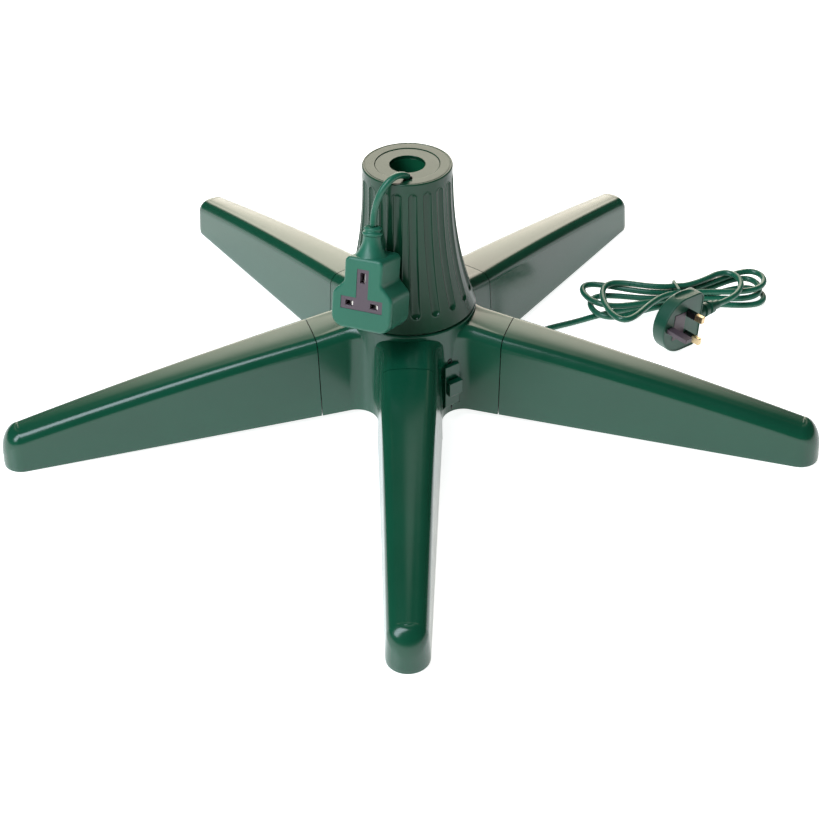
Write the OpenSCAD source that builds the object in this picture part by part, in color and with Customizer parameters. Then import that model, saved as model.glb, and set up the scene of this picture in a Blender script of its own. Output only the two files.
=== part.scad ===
// Rotating stand for an artificial Christmas tree, with five legs and a lit-tree socket.
// The origin is on the turning axis at floor level, +Z is up and the front leg lies along -Y.

/* [Legs] */
// Distance from the turning axis to the end of each leg
leg_reach = 360; // [320:5:400]
// Width of a leg's bottom edge at the foot
leg_tip_w = 34.4; // [32:0.2:38]
// Width of a leg's bottom edge at the hub
leg_root_w = 55.4; // [53:0.2:57]
// Height of a leg's top where the round foot end begins
leg_tip_h = 35.5; // [32:0.5:40]
// Height of a leg's top at the hub seam
leg_root_h = 79.5; // [77:0.5:81]
// Height of the upright wall round the foot end
tip_wall_h = 17.5; // [15:0.5:20]
// Height of the underside above the floor at the hub
underside_h = 6.4; // [5.6:0.2:7]
// Clearance of the leg's rim above the floor at the foot
foot_gap = 0.8; // [0.5:0.1:1.2]
// Radius of the rounded shoulders of the legs and hub arms
shoulder_r = 10.5; // [8:0.5:11]
// Wall thickness of the legs
leg_wall = 2.6; // [2.2:0.1:3]
// Width of the open seam between a leg and the hub
seam_gap = 0.8; // [0.5:0.1:1.2]
// Radius of the rubber pad under each foot
pad_r = 11; // [9:0.5:11.5]

/* [Hub] */
// Distance from the turning axis to the middle of the leg seams
hub_reach = 89; // [88:0.5:92]
// Outer radius of the round core between the arms
hub_core_r = 57.4; // [57:0.1:58]
// Height of the hub's top above the legs' tops at the hub seam
hub_rise = 10.9; // [10:0.1:11.5]
// Wall thickness of the hub
hub_wall = 3; // [2.6:0.1:3.2]
// Radius of the upright hollows between the arms
bay_r = 18.4; // [17:0.2:20]
// Thickness of the bottom cover
cover_t = 2.8; // [2.4:0.1:3]

/* [Column] */
// Gap between the hub and the turning column
turn_gap = 1.2; // [1:0.1:1.5]
// Height of the top of the column
column_top_z = 222.4; // [215:0.2:235]
// Outer radius of the column at the top
column_top_r = 37.3; // [37:0.1:39]
// Outer radius of the column at the bottom
column_base_r = 57.2; // [56.5:0.1:58.5]
// Wall thickness of the column
column_wall = 2.6; // [2.2:0.1:2.8]
// Width of the flutes
flute_w = 7.3; // [6:0.1:8]
// Depth of the flutes
flute_depth = 1.7; // [1:0.1:2]
// Plain band above the flutes
flute_top_band = 8.7; // [7:0.1:14]
// Plain band below the flutes
flute_base_band = 13; // [11:0.5:16]
// Radius of the seam round the top disc
disc_r = 26.6; // [26:0.1:27]
// Thickness of the top disc
disc_t = 3; // [2.6:0.1:3.2]
// How far the top disc lies below the rim
disc_drop = 0.6; // [0.4:0.1:1]

/* [Pole tube] */
// Diameter of the bore that takes the tree's pole
pole_d = 29.4; // [27:0.2:30]
// Wall thickness of the pole tube
tube_wall = 2.4; // [2:0.1:2.6]
// Height of the closed bottom of the pole tube
tube_base_z = 13.5; // [13:0.1:14]
// Thickness of the tube's closed bottom
tube_floor_t = 4; // [3:0.5:6]

/* [Drive] */
// Tooth size of the gears
gear_module = 1.6; // [1.58:0.01:1.62]
// Teeth on the gear round the pole tube
gear_teeth = 38;
// Teeth on the motor's pinion
pinion_teeth = 17;
// Face width of the drive gear
gear_w = 9; // [7:0.5:10]
// Radius of the motor's can
motor_r = 20; // [18:0.5:20.5]
// Height of the motor's can
motor_h = 22; // [20:0.5:23]
// Radius of the slip rings
slip_r = 26; // [24:0.5:27]

/* [Switch] */
// Width of the switch surround
switch_w = 15; // [14.4:0.2:16]
// Height of the switch surround
switch_h = 41; // [38:1:44]
// How far the surround stands out of its seat in the hub
switch_t = 4.1; // [3.6:0.1:4.6]
// Width of the open gap beside the surround
switch_gap = 4.4; // [3:0.2:5]
// Width of the sliding knob
knob_w = 14; // [13:0.2:14.4]
// Height of the sliding knob
knob_h = 13.4; // [13:0.2:15]
// How far the knob stands out of the surround
knob_out = 5.7; // [4:0.1:7]
// Travel of the knob
knob_travel = 6; // [4:0.5:6]

/* [Trailing socket] */
// Height of the upper, narrow part of the socket above the power slots
socket_top = 38.7; // [36:0.1:41]
// Distance from the power slots to the bottom of the socket
socket_bottom = 21.8; // [20:0.1:24]
// Width of the socket's upper part
socket_neck_w = 34; // [32:0.2:36]
// Width of the socket's lower part
socket_w = 54.2; // [52:0.2:56]
// Depth of the socket from face to back
socket_d = 36.8; // [34:0.2:38]
// Travel of the safety shutter
shutter_travel = 6; // [4:0.5:6]

/* [Mains plug] */
// Width of the plug across its two power pins
plug_w = 55; // [52:0.5:55]
// Distance from the power pins to the cord side of the plug
plug_cord_side = 19.5; // [18:0.5:21]
// Depth of the plug's body
plug_d = 15; // [13:0.5:17]

/* [Cords] */
// Diameter of the mains lead and of the socket's lead
cord_d = 5.6; // [5:0.1:5.8]

/* [Hidden] */

green = [0.10, 0.34, 0.26];
cord_green = [0.16, 0.43, 0.34];
black = [0.08, 0.08, 0.09];
nylon = [0.90, 0.88, 0.82];
steel = [0.70, 0.71, 0.73];
brass = [0.80, 0.66, 0.34];
copper = [0.78, 0.47, 0.30];
grey_core = [0.33, 0.30, 0.31];

arm_count = 5;
arm_step = 360 / arm_count;
first_arm = -90;
tip_r = leg_tip_w / 2;
tip_x = leg_reach - tip_r;
leg_start = hub_reach + seam_gap / 2;
hub_end = hub_reach - seam_gap / 2;
side_draft = 0.062;
top_bulge = 2.2;
crown = 0.6;
turn_fit = 0.05;
press_gap = 0.02;

// Bases of the turning parts
hub_top_z = leg_root_h + hub_rise;
column_z = hub_top_z + turn_gap;
tube_r = pole_d / 2 + tube_wall;
disc_top_z = column_top_z - disc_drop;
flange_t = 3;
flange_z = disc_top_z - disc_t - flange_t;
ledge_t = 2.8;
ledge_z = flange_z - ledge_t;
ledge_r = disc_r - 2.2;

function lerp(a, b, f) = a + (b - a) * f;
function unit(v) = v / norm(v);
function arc(c, r, a0, a1, n) =
    [for (i = [0:n]) c + r * [cos(lerp(a0, a1, i / n)), sin(lerp(a0, a1, i / n))]];
function mirror_y(p) = [for (i = [len(p) - 1:-1:0]) [-p[i].x, p[i].y]];
function smooth(f) = let (g = max(0, min(1, f))) g * g * (3 - 2 * g);

// Faces of a solid skinned over m rings of n points, closed end to end or capped round two centre points
function skin_faces(m, n, closed) = concat(
    [for (i = [0:closed ? m - 1 : m - 2], j = [0:n - 1])
        let (a = i * n + j, b = i * n + (j + 1) % n,
             c = (i + 1) % m * n + (j + 1) % n, d = (i + 1) % m * n + j)
        each [[a, d, c], [a, c, b]]],
    closed ? [] : [for (j = [0:n - 1]) each
        [[m * n, j, (j + 1) % n], [m * n + 1, (m - 1) * n + (j + 1) % n, (m - 1) * n + j]]]
);
function centre(r) = [for (p = r) 1] * r / len(r);

module skin(rings, closed = false) {
    m = len(rings);
    caps = closed ? [] : [centre(rings[0]), centre(rings[m - 1])];
    polyhedron(concat([for (r = rings) each r], caps), skin_faces(m, len(rings[0]), closed), convexity = 6);
}

// Rings of a tube of radius r with the given number of sides along the points p
function tangent(p, i) = unit(p[min(i + 1, len(p) - 1)] - p[max(i - 1, 0)]);
function square_to(v, t) = unit(v - (v * t) * t);
function tube_rings(p, r, sides) = [
    for (i = 0, v = square_to([0.1, 0.2, 1], tangent(p, 0)); i < len(p);
         i = i + 1, v = i < len(p) ? square_to(v, tangent(p, i)) : v)
        let (w = cross(tangent(p, i), v))
        [for (j = [0:sides - 1]) p[i] + r * (cos(360 * j / sides) * v + sin(360 * j / sides) * w)]
];

module tube(p, r, sides) {
    skin(tube_rings(p, r, sides));
}

// Runs its children once in the frame of each arm, with the arm along +X
module at_arm(k) {
    rotate([0, 0, first_arm + arm_step * k]) children();
}

module at_arms() {
    for (k = [0:arm_count - 1]) at_arm(k) children();
}

// Legs

tongue_w = 24;
tongue_z = 12;
tongue_t = 4;
tongue_x = hub_end - 22.6;
screw_x = hub_end - 12.6;
screw_y = 7;
screw_r = 1.5;
screw_head_r = 3;
screw_l = 14;
screw_pilot_r = screw_r;
screw_hole_r = screw_r + 0.25;
pad_x = tip_x - 3;
pad_seat_z = 6;

function leg_f(x) = (x - hub_reach) / (tip_x - hub_reach);
function half_w(x) = lerp(leg_root_w, leg_tip_w, max(0, leg_f(x))) / 2;
function bulge(f) = f > 0 ? 4 * top_bulge * f * (1 - f) : 0;
function top_z(x) = lerp(leg_root_h, leg_tip_h, leg_f(x)) + bulge(leg_f(x));
function rim_z(x) = lerp(underside_h, foot_gap, max(0, leg_f(x)));

// Section of a leg or arm: half width hb at the rim zb, top zt, shoulders of radius r
function leg_section(x, hb, zb, zt, r) =
    let (hw = hb - side_draft * (zt - r - zb),
         half = concat([[hb, zb]], arc([hw - r, zt - r], r, 0, 90, 5)),
         all = concat(half, [[0, zt + crown]], mirror_y(half)))
    [for (p = all) [x, p.x, p.y]];

function leg_ring(x, inset, drop) =
    leg_section(x, half_w(x) - inset, rim_z(x) - drop, top_z(x) - inset, shoulder_r - inset * 0.6);

// Ring round the foot end, at angle a past the start of the round end
function tip_ring(a, inset, drop) =
    let (r = tip_r - inset, zt = lerp(tip_wall_h, leg_tip_h, cos(a)) - inset, hb = r * cos(a))
    leg_section(tip_x + r * sin(a), hb, rim_z(tip_x) - drop, zt, min(shoulder_r - inset * 0.6, hb * 0.7));

leg_stations = [0, 0.25, 0.5, 0.75];
tip_angles = [0, 20, 38, 54, 68, 80];

module leg_shape(start, inset, drop) {
    skin(concat(
        [for (f = leg_stations) leg_ring(lerp(start, tip_x, f), inset, drop)],
        [for (a = tip_angles) tip_ring(a, inset, drop)]
    ));
}

module leg() {
    color(green) difference() {
        union() {
            difference() {
                leg_shape(leg_start, 0, 0);
                leg_shape(leg_start + leg_wall, leg_wall, 5);
            }
            // Tongue that slides under the hub arm
            translate([tongue_x, -tongue_w / 2, tongue_z])
                cube([leg_start + leg_wall - tongue_x, tongue_w, tongue_t]);
            // Seat of the rubber pad
            translate([pad_x, 0, pad_seat_z]) cylinder(r = tip_r - leg_wall / 2, h = 3, $fn = 48);
        }
        for (s = [-1, 1]) translate([screw_x, s * screw_y, tongue_z - 1])
            cylinder(r = screw_hole_r, h = tongue_t + 2, $fn = 24);
    }
}

module leg_front() { at_arm(0) leg(); }
module leg_right() { at_arm(1) leg(); }
module leg_back_right() { at_arm(2) leg(); }
module leg_back_left() { at_arm(3) leg(); }
module leg_left() { at_arm(4) leg(); }

module foot_pads() {
    color(black) at_arms() translate([pad_x, 0, 0]) {
        translate([0, 0, 1.5]) cylinder(r = pad_r, h = pad_seat_z - 1.5, $fn = 48);
        cylinder(r1 = pad_r - 1, r2 = pad_r, h = 1.5, $fn = 48);
    }
}

// Pan-head screw standing on its head: head below z = 0, shank above
module screw(r, head_r, l) {
    cylinder(r = r, h = l, $fn = 24);
    translate([0, 0, -2]) cylinder(r = head_r, h = 2, $fn = 24);
}

module leg_screws() {
    color(steel) at_arms() for (s = [-1, 1])
        translate([screw_x, s * screw_y, tongue_z]) screw(screw_r, screw_head_r, screw_l);
}

// Hub

core_in_r = hub_core_r - hub_wall;
crown_arm_r = hub_core_r - 7.4;
crown_bay_r = hub_core_r - 15.4;
top_plate_t = 4;
bay_w = half_w(hub_end);
bay_x = (bay_w + bay_r) / sin(arm_step / 2);
web_x = bay_x * cos(arm_step / 2);
bay_wall_r = bay_x - bay_r;
bush_t = 1.8;
bush_h = 10;
collar_r = tube_r + turn_fit + bush_t;
collar_wall = 2.6;
boss_r = 4;
boss_at = 45;
cover_boss_az = [18, 90, 162, 234];
cover_z = underside_h + 0.4;
cover_top_z = cover_z + cover_t;
tongue_gap = 0.4;
washer_in = 30;
washer_out = 44;

// Switch and gland places on the hub
switch_az = -54;
switch_z = 34.5;
switch_shift = 0.8;
switch_back = bay_wall_r - side_draft * (switch_z + switch_h / 2 - underside_h) + 0.2;
switch_face = switch_back + switch_t;
knob_z = 27.8;
neck_z = knob_z + 1;
neck_h = 5;
neck_w = 7;
slot_play = 0.3;
case_w = 11.8;
case_h = 26;
case_z = neck_z + neck_h / 2 + knob_travel / 2;
case_back = 42;
case_room = 9;
gland_az = 18;
gland_z = 18;
gland_end = 80;
gland_seat = bay_wall_r - 1.8;
gland_r = 5.4;
gland_neck_r = 4.2;

// Place along the nearer of an arm and the next one
function arm_x(p) = max(p.x, p.x * cos(arm_step) + p.y * sin(arm_step));

// One arm's end and the hollow after it, drawn in by i
function sector(i) = concat(
    [for (y = [-1, 0, 1]) [hub_end, y * (half_w(hub_end) - i)]],
    arc([web_x, bay_w + bay_r], bay_r + i, -90, arm_step - 270, 8)
);
function turned(p, a, z) = [p.x * cos(a) - p.y * sin(a), p.x * sin(a) + p.y * cos(a), z];

// Ring round the hub at shoulder angle a, with walls drawn in by g
function hub_ring(a, g) = [
    for (k = [0:arm_count - 1])
        let (r = shoulder_r - g * 0.6, s = side_draft * (leg_root_h - r - underside_h),
             q = sector(g + s + r * (1 - cos(a))))
        for (j = [0:len(q) - 1])
            turned([q[j].x - g * (j < 3 ? 1 : 0), q[j].y], first_arm + k * arm_step,
                   top_z(arm_x(q[j])) - g - r * (1 - sin(a)) + (a == 90 && j == 1 ? crown : 0))
];
function hub_foot(g, z) = [
    for (k = [0:arm_count - 1]) let (q = sector(g)) for (j = [0:len(q) - 1])
        turned([q[j].x - g * (j < 3 ? 1 : 0), q[j].y], first_arm + k * arm_step, z)
];
function hub_crown(g) = [
    for (k = [0:arm_count - 1], j = [0:11])
        let (a = j < 3 ? 10 * (j - 1) : 14 + (arm_step - 28) * (j - 3) / 8,
             r = j < 3 ? crown_arm_r : crown_bay_r)
        turned([r * cos(a), r * sin(a)], first_arm + k * arm_step, top_z(crown_arm_r) - g)
];

module hub_star(g, drop) {
    skin(concat([hub_foot(g, underside_h - drop)],
                [for (a = [0, 22.5, 45, 67.5, 90]) hub_ring(a, g)],
                [hub_crown(g)]));
}

module switch_frame() {
    rotate([0, 0, switch_az]) translate([0, switch_shift, 0]) children();
}

module gland_frame() {
    rotate([0, 0, gland_az]) translate([0, 0, gland_z]) rotate([0, 90, 0]) children();
}

module hub_housing() {
    color(green) difference() {
        union() {
            difference() {
                union() {
                    hub_star(0, 0);
                    rotate_extrude($fn = 120) polygon(concat(
                        [[0, underside_h + 4], [hub_core_r, underside_h + 4]],
                        arc([hub_core_r - 2, hub_top_z - 2], 2, 0, 90, 4),
                        [[0, hub_top_z]]
                    ));
                }
                hub_star(hub_wall, 5);
                translate([0, 0, -1]) cylinder(r = core_in_r, h = hub_top_z - top_plate_t + 1, $fn = 120);
            }
            // Thick wall behind the switch
            switch_frame()
                translate([core_in_r - 1, -switch_w / 2 - switch_gap - 2, switch_z - switch_h / 2 - 2])
                    cube([switch_back - core_in_r + 1, switch_w + switch_gap + 4, switch_h + 4]);
            // Collar round the upper bush
            translate([0, 0, hub_top_z - bush_h - 2])
                cylinder(r = collar_r + collar_wall, h = bush_h + 1, $fn = 64);
            // Posts for the cover screws and the leg screws
            for (a = cover_boss_az) rotate([0, 0, a]) translate([boss_at, 0, cover_top_z + 0.2])
                cylinder(r = boss_r, h = hub_top_z - top_plate_t - cover_top_z + 1, $fn = 32);
            at_arms() for (s = [-1, 1]) translate([screw_x, s * screw_y, tongue_z + tongue_t + 0.2])
                cylinder(r = screw_head_r + 0.6, h = top_z(screw_x) - hub_wall - tongue_z - tongue_t + 1,
                         $fn = 32);
        }
        // Bore for the upper bush, with a lip below it
        translate([0, 0, hub_top_z - bush_h]) cylinder(r = collar_r, h = bush_h + 1, $fn = 64);
        translate([0, 0, hub_top_z - bush_h - 3]) cylinder(r = tube_r + 0.6, h = 5, $fn = 64);
        for (a = cover_boss_az) rotate([0, 0, a]) translate([boss_at, 0, cover_top_z])
            cylinder(r = screw_pilot_r, h = screw_l + 1, $fn = 24);
        at_arms() {
            for (s = [-1, 1]) translate([screw_x, s * screw_y, tongue_z + tongue_t])
                cylinder(r = screw_pilot_r, h = screw_l + 1, $fn = 24);
            // Slot for the leg's tongue
            translate([hub_end - hub_wall - 1, -tongue_w / 2 - tongue_gap, tongue_z - tongue_gap])
                cube([hub_wall + 2, tongue_w + 2 * tongue_gap, tongue_t + 2 * tongue_gap]);
        }
        // Flat seat and window of the switch
        switch_frame() {
            translate([switch_back, -switch_w / 2 - 0.1, switch_z - switch_h / 2 - 0.1])
                cube([20, switch_w + 0.2, switch_h + 0.2]);
            translate([case_back, -case_w / 2 - 0.2, case_z - case_h / 2 - 0.2])
                cube([20, case_w + 0.4, case_h + 0.4]);
            translate([case_back, -switch_w / 2 - switch_gap, switch_z - switch_h / 2 - 0.1])
                cube([30, switch_gap, switch_h + 0.2]);
        }
        // Hole and flat seat of the cord gland
        gland_frame() {
            translate([0, 0, gland_seat - 9]) cylinder(r = gland_neck_r + 0.05, h = 20, $fn = 40);
            translate([0, 0, gland_seat]) cylinder(r = gland_r + 1.4, h = 20, $fn = 40);
        }
    }
}

module bottom_cover() {
    color(green) difference() {
        union() {
            translate([0, 0, cover_z]) cylinder(r = core_in_r - 0.4, h = cover_t, $fn = 120);
            translate([0, 0, cover_z])
                cylinder(r = collar_r + 2, h = tube_base_z + bush_h - cover_z, $fn = 64);
        }
        translate([0, 0, tube_base_z - 2.5]) cylinder(r = collar_r, h = bush_h + 10, $fn = 64);
        for (a = cover_boss_az) rotate([0, 0, a]) translate([boss_at, 0, cover_z - 1])
            cylinder(r = screw_hole_r, h = cover_t + 2, $fn = 24);
    }
}

module cover_screws() {
    color(steel) for (a = cover_boss_az) rotate([0, 0, a]) translate([boss_at, 0, cover_z])
        screw(screw_r, screw_head_r, screw_l);
}

module bush() {
    difference() {
        cylinder(r = collar_r - 0.02, h = bush_h - 0.2, $fn = 64);
        translate([0, 0, -1]) cylinder(r = tube_r + turn_fit, h = bush_h + 2, $fn = 64);
    }
}

module upper_bush() {
    color(nylon) translate([0, 0, hub_top_z - bush_h]) bush();
}

module lower_bush() {
    color(nylon) {
        translate([0, 0, tube_base_z]) bush();
        // Bearing pad under the tube
        translate([0, 0, tube_base_z - 2.5]) cylinder(r = collar_r - 0.02, h = 2.4, $fn = 64);
        translate([0, 0, tube_base_z - 0.5]) difference() {
            cylinder(r = collar_r - 0.02, h = 1, $fn = 64);
            translate([0, 0, -1]) cylinder(r = tube_r + turn_fit, h = 3, $fn = 64);
        }
    }
}

module thrust_washer() {
    color(nylon) translate([0, 0, hub_top_z]) difference() {
        cylinder(r = washer_out, h = turn_gap - 0.1, $fn = 96);
        translate([0, 0, -1]) cylinder(r = washer_in, h = turn_gap + 2, $fn = 96);
    }
}

// Drive

motor_arm_az = first_arm + 2 * arm_step;
gear_dist = gear_module * (gear_teeth + pinion_teeth) / 2;
motor_z = cover_top_z;
motor_top_z = motor_z + motor_h;
gear_z = motor_top_z + 3;
shaft_r = 3;
pressure_angle = 20;
tooth_slack = 0.12;

// Involute gear outline: flank points of each tooth between root and tip
function involute(rb, r) = r <= rb ? 0 : let (a = acos(rb / r)) tan(a) * 180 / PI - a;
function gear_points(teeth) =
    let (rp = gear_module * teeth / 2, rb = rp * cos(pressure_angle),
         ra = rp + gear_module, rf = rp - 1.25 * gear_module,
         half = 90 / teeth - tooth_slack / rp * 180 / PI + involute(rb, rp),
         radii = [max(rb, rf + 0.2), rp - 0.3 * gear_module, rp + 0.4 * gear_module, ra])
    [for (i = [0:teeth - 1]) let (c = 360 * i / teeth) each concat(
        [rf * [cos(c - half), sin(c - half)]],
        [for (r = radii) let (a = c - half + involute(rb, r)) r * [cos(a), sin(a)]],
        [for (k = [3:-1:0]) let (r = radii[k], a = c + half - involute(rb, r)) r * [cos(a), sin(a)]],
        [rf * [cos(c + half), sin(c + half)]]
    )];

module drive_gear() {
    color(nylon) translate([0, 0, gear_z]) difference() {
        union() {
            rotate([0, 0, motor_arm_az]) linear_extrude(height = gear_w) polygon(gear_points(gear_teeth));
            cylinder(r = tube_r + 5, h = gear_w + 4, $fn = 64);
        }
        translate([0, 0, -1]) cylinder(r = tube_r + press_gap, h = gear_w + 8, $fn = 80);
    }
}

module at_motor() {
    rotate([0, 0, motor_arm_az]) translate([gear_dist, 0, 0]) children();
}

module drive_pinion() {
    color(nylon) at_motor() translate([0, 0, gear_z]) difference() {
        rotate([0, 0, 180 + 180 / pinion_teeth])
            linear_extrude(height = gear_w + 1) polygon(gear_points(pinion_teeth));
        translate([0, 0, -1]) cylinder(r = shaft_r, h = gear_w + 4, $fn = 32);
    }
}

module motor_shaft() {
    color(steel) at_motor() translate([0, 0, motor_top_z - 8])
        cylinder(r = shaft_r, h = gear_w + 13, $fn = 32);
}

module gear_motor() {
    color(steel) at_motor() difference() {
        union() {
            translate([0, 0, motor_z]) cylinder(r = motor_r, h = motor_h, $fn = 80);
            translate([0, 0, motor_top_z]) cylinder(r = shaft_r + 3, h = 2, $fn = 40);
        }
        translate([0, 0, motor_top_z - 9]) cylinder(r = shaft_r + turn_fit, h = 12, $fn = 32);
    }
}

// Slip rings: power crosses from the hub to the turning column

ring_w = 4;
ring_count = 3;
drum_room = 7.8;
drum_z = gear_z + gear_w + 5;
drum_h = hub_top_z - bush_h - 2 - drum_room - drum_z;
ring_pitch = (drum_h - 1) / ring_count;
ring_t = 1.2;
brush_az = 198;
brush_gap = 0.3;
block_in = slip_r + 5;
block_out = slip_r + 18;
block_w = 14;

module slip_drum() {
    color(black) translate([0, 0, drum_z]) difference() {
        cylinder(r = slip_r - ring_t, h = drum_h, $fn = 80);
        translate([0, 0, -1]) cylinder(r = tube_r + press_gap, h = drum_h + 2, $fn = 80);
    }
}

module slip_rings() {
    color(copper) for (i = [0:ring_count - 1]) translate([0, 0, drum_z + 2 + ring_pitch * i]) difference() {
        cylinder(r = slip_r, h = ring_w, $fn = 80);
        translate([0, 0, -1]) cylinder(r = slip_r - ring_t, h = ring_w + 2, $fn = 80);
    }
}

module brush_block() {
    color(black) rotate([0, 0, brush_az]) {
        translate([block_in, -block_w / 2, drum_z])
            cube([block_out - block_in, block_w, ring_pitch * ring_count]);
        translate([block_out - 8, -block_w / 2, cover_top_z]) cube([8, block_w, drum_z - cover_top_z + 1]);
    }
}

module brush_fingers() {
    color(copper) rotate([0, 0, brush_az]) for (i = [0:ring_count - 1])
        translate([slip_r + brush_gap, -2.5, drum_z + 2.5 + ring_pitch * i])
            cube([block_in - slip_r - brush_gap, 5, ring_w - 1]);
}

module terminal_block() {
    color(nylon) rotate([0, 0, first_arm + arm_step]) translate([36, -12, cover_top_z]) difference() {
        cube([10, 24, 12]);
        for (i = [0:2]) translate([5, 4 + 8 * i, 4]) cylinder(r = 1.6, h = 10, $fn = 24);
    }
}

// Switch

module switch_surround() {
    color(green) switch_frame() difference() {
        union() {
            translate([switch_back, -switch_w / 2, switch_z - switch_h / 2])
                cube([switch_t, switch_w, switch_h]);
            translate([case_back, -case_w / 2, case_z - case_h / 2])
                cube([switch_back + 1 - case_back, case_w, case_h]);
        }
        // Slot for the slider's neck, and the room behind it for the slider's carrier
        translate([switch_face - 20, -neck_w / 2 - slot_play, neck_z - slot_play])
            cube([30, neck_w + 2 * slot_play, neck_h + knob_travel + 2 * slot_play]);
        translate([switch_back - case_room, -case_w / 2 + 1, neck_z - 2 - slot_play])
            cube([case_room, case_w - 2, neck_h + knob_travel + 4 + 2 * slot_play]);
    }
}

module switch_slider() {
    color(black) switch_frame() {
        translate([switch_face + slot_play, -knob_w / 2, knob_z])
            cube([knob_out - slot_play, knob_w, knob_h]);
        translate([switch_back - case_room + 2, -neck_w / 2, neck_z])
            cube([case_room - 1 + switch_t, neck_w, neck_h]);
        // Carrier that holds the slider in the surround
        translate([switch_back - case_room + 1, -case_w / 2 + 1 + slot_play, neck_z - 2])
            cube([case_room - 1 - slot_play, case_w - 2 - 2 * slot_play, neck_h + 4]);
    }
}

// Cord gland: a ribbed, tapering strain relief

module lead_gland() {
    color(black) gland_frame() {
        translate([0, 0, gland_seat - 7]) cylinder(r = gland_neck_r, h = 9, $fn = 40);
        translate([0, 0, gland_seat - 7]) cylinder(r = gland_r + 1, h = 3.6, $fn = 40);
        translate([0, 0, gland_seat + 0.1]) cylinder(r = gland_r + 1, h = 3, $fn = 40);
        translate([0, 0, gland_seat + 3.1])
            cylinder(r1 = gland_r, r2 = gland_neck_r, h = gland_end - gland_seat - 3.1, $fn = 40);
    }
}

// Turning column

flute_count = 19;
flute_turn = -83.3;
flare_power = 2.4;
column_h = column_top_z - column_z;
exit_at = [0.5, -24.8];
exit_dir = unit([-3.3, -3.0, 3.2]);
grommet_r = cord_d / 2 + 0.9;
flute_hi = column_top_z - flute_top_band;
flute_lo = column_z + flute_base_band;
rim_round = 0.9;

function column_r(z) =
    lerp(column_top_r, column_base_r, pow(max(0, (column_top_z - z) / column_h), flare_power));

// Radius of the column's inside at height z
function column_in_r(z) = column_r(z) - flute_depth - column_wall + 1;

// Half a flute's width as an angle, and how far z is into a flute's round end
function flute_half(z) = flute_w / 2 / column_r(z) * 180 / PI;
function end_share(z) = let (w = flute_w / 2) max(0, (z - (flute_hi - w)) / w, (flute_lo + w - z) / w);
function groove(u, z) =
    let (v = end_share(z), s = 1 - u * u - v * v) s > 0 ? flute_depth * sqrt(s) : 0;

// Angles across one flute and on to the middle of the rib after it
flute_cuts = [-1, -0.55, 0, 0.55, 1];
function flute_angles(z) = concat(flute_cuts * flute_half(z), [180 / flute_count]);
function column_ring(z, fluted) = [
    for (i = [0:flute_count - 1], a = flute_angles(z))
        let (t = flute_turn + i * 360 / flute_count + a,
             r = column_r(z) - (fluted ? groove(a / flute_half(z), z) : 0))
        [r * cos(t), r * sin(t), z]
];
function plain_ring(r, z) = [
    for (i = [0:flute_count - 1], a = flute_angles(column_top_z))
        let (t = flute_turn + i * 360 / flute_count + a) [r * cos(t), r * sin(t), z]
];

flute_levels = concat(
    [for (s = [0.02, 0.2, 0.5, 1]) flute_lo + flute_w / 2 * s],
    [for (f = [0.15, 0.3, 0.45, 0.6, 0.8]) lerp(flute_lo + flute_w / 2, flute_hi - flute_w / 2, f)],
    [for (s = [1, 0.5, 0.2, 0.02]) flute_hi - flute_w / 2 * s]
);

module column_skin() {
    skin(concat(
        [column_ring(column_z, false)],
        [for (z = flute_levels) column_ring(z, true)],
        [column_ring(column_top_z - rim_round, false),
         plain_ring(column_top_r - rim_round, column_top_z),
         plain_ring(disc_r + 0.2, column_top_z),
         plain_ring(disc_r + 0.2, flange_z),
         plain_ring(ledge_r, flange_z),
         plain_ring(ledge_r, ledge_z),
         plain_ring(column_top_r - column_wall, ledge_z)],
        [for (f = [0.35, 0.6, 0.8, 1])
            let (z = lerp(ledge_z, column_z, f)) plain_ring(column_in_r(z), z)]
    ), true);
}

module column_shell() {
    color(green) difference() {
        column_skin();
        // Notch for the cord's grommet
        translate([exit_at.x, exit_at.y, ledge_z - 1]) cylinder(r = grommet_r, h = column_top_z, $fn = 40);
    }
}

plate_t = 4;
plate_gap = 0.15;
turntable_hub_h = 14;

module turntable() {
    color(nylon) translate([0, 0, column_z]) difference() {
        union() {
            cylinder(r = column_in_r(column_z + plate_t) - plate_gap, h = plate_t, $fn = 96);
            cylinder(r = tube_r + 4, h = turntable_hub_h, $fn = 64);
        }
        translate([0, 0, -1]) cylinder(r = tube_r + press_gap, h = turntable_hub_h + 2, $fn = 80);
    }
}

module top_disc() {
    color(green) difference() {
        translate([0, 0, disc_top_z - disc_t]) cylinder(r = disc_r, h = disc_t, $fn = 120);
        translate([0, 0, disc_top_z - disc_t - 1]) cylinder(r = pole_d / 2, h = disc_t + 2, $fn = 80);
        translate([exit_at.x, exit_at.y, disc_top_z - disc_t - 1])
            cylinder(r = grommet_r, h = disc_t + 2, $fn = 40);
    }
}

module pole_tube() {
    color(green) difference() {
        union() {
            translate([0, 0, tube_base_z])
                cylinder(r = tube_r, h = flange_z + flange_t - tube_base_z, $fn = 80);
            translate([0, 0, flange_z]) cylinder(r = disc_r - 0.2, h = flange_t, $fn = 96);
        }
        translate([0, 0, tube_base_z + tube_floor_t]) cylinder(r = pole_d / 2, h = column_top_z, $fn = 80);
        // Notch that lets the socket's lead through
        translate([exit_at.x, exit_at.y, flange_z - 1])
            cylinder(r = grommet_r + 0.4, h = flange_t + 2, $fn = 40);
    }
}

column_screw_az = [30, 150, 210, 330];

module column_screws() {
    color(steel) for (a = column_screw_az) rotate([0, 0, a])
        translate([disc_r - 1.6, 0, flange_z - ledge_t + 0.2])
            cylinder(r = 0.9, h = ledge_t + flange_t - 0.4, $fn = 24);
}

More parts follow.
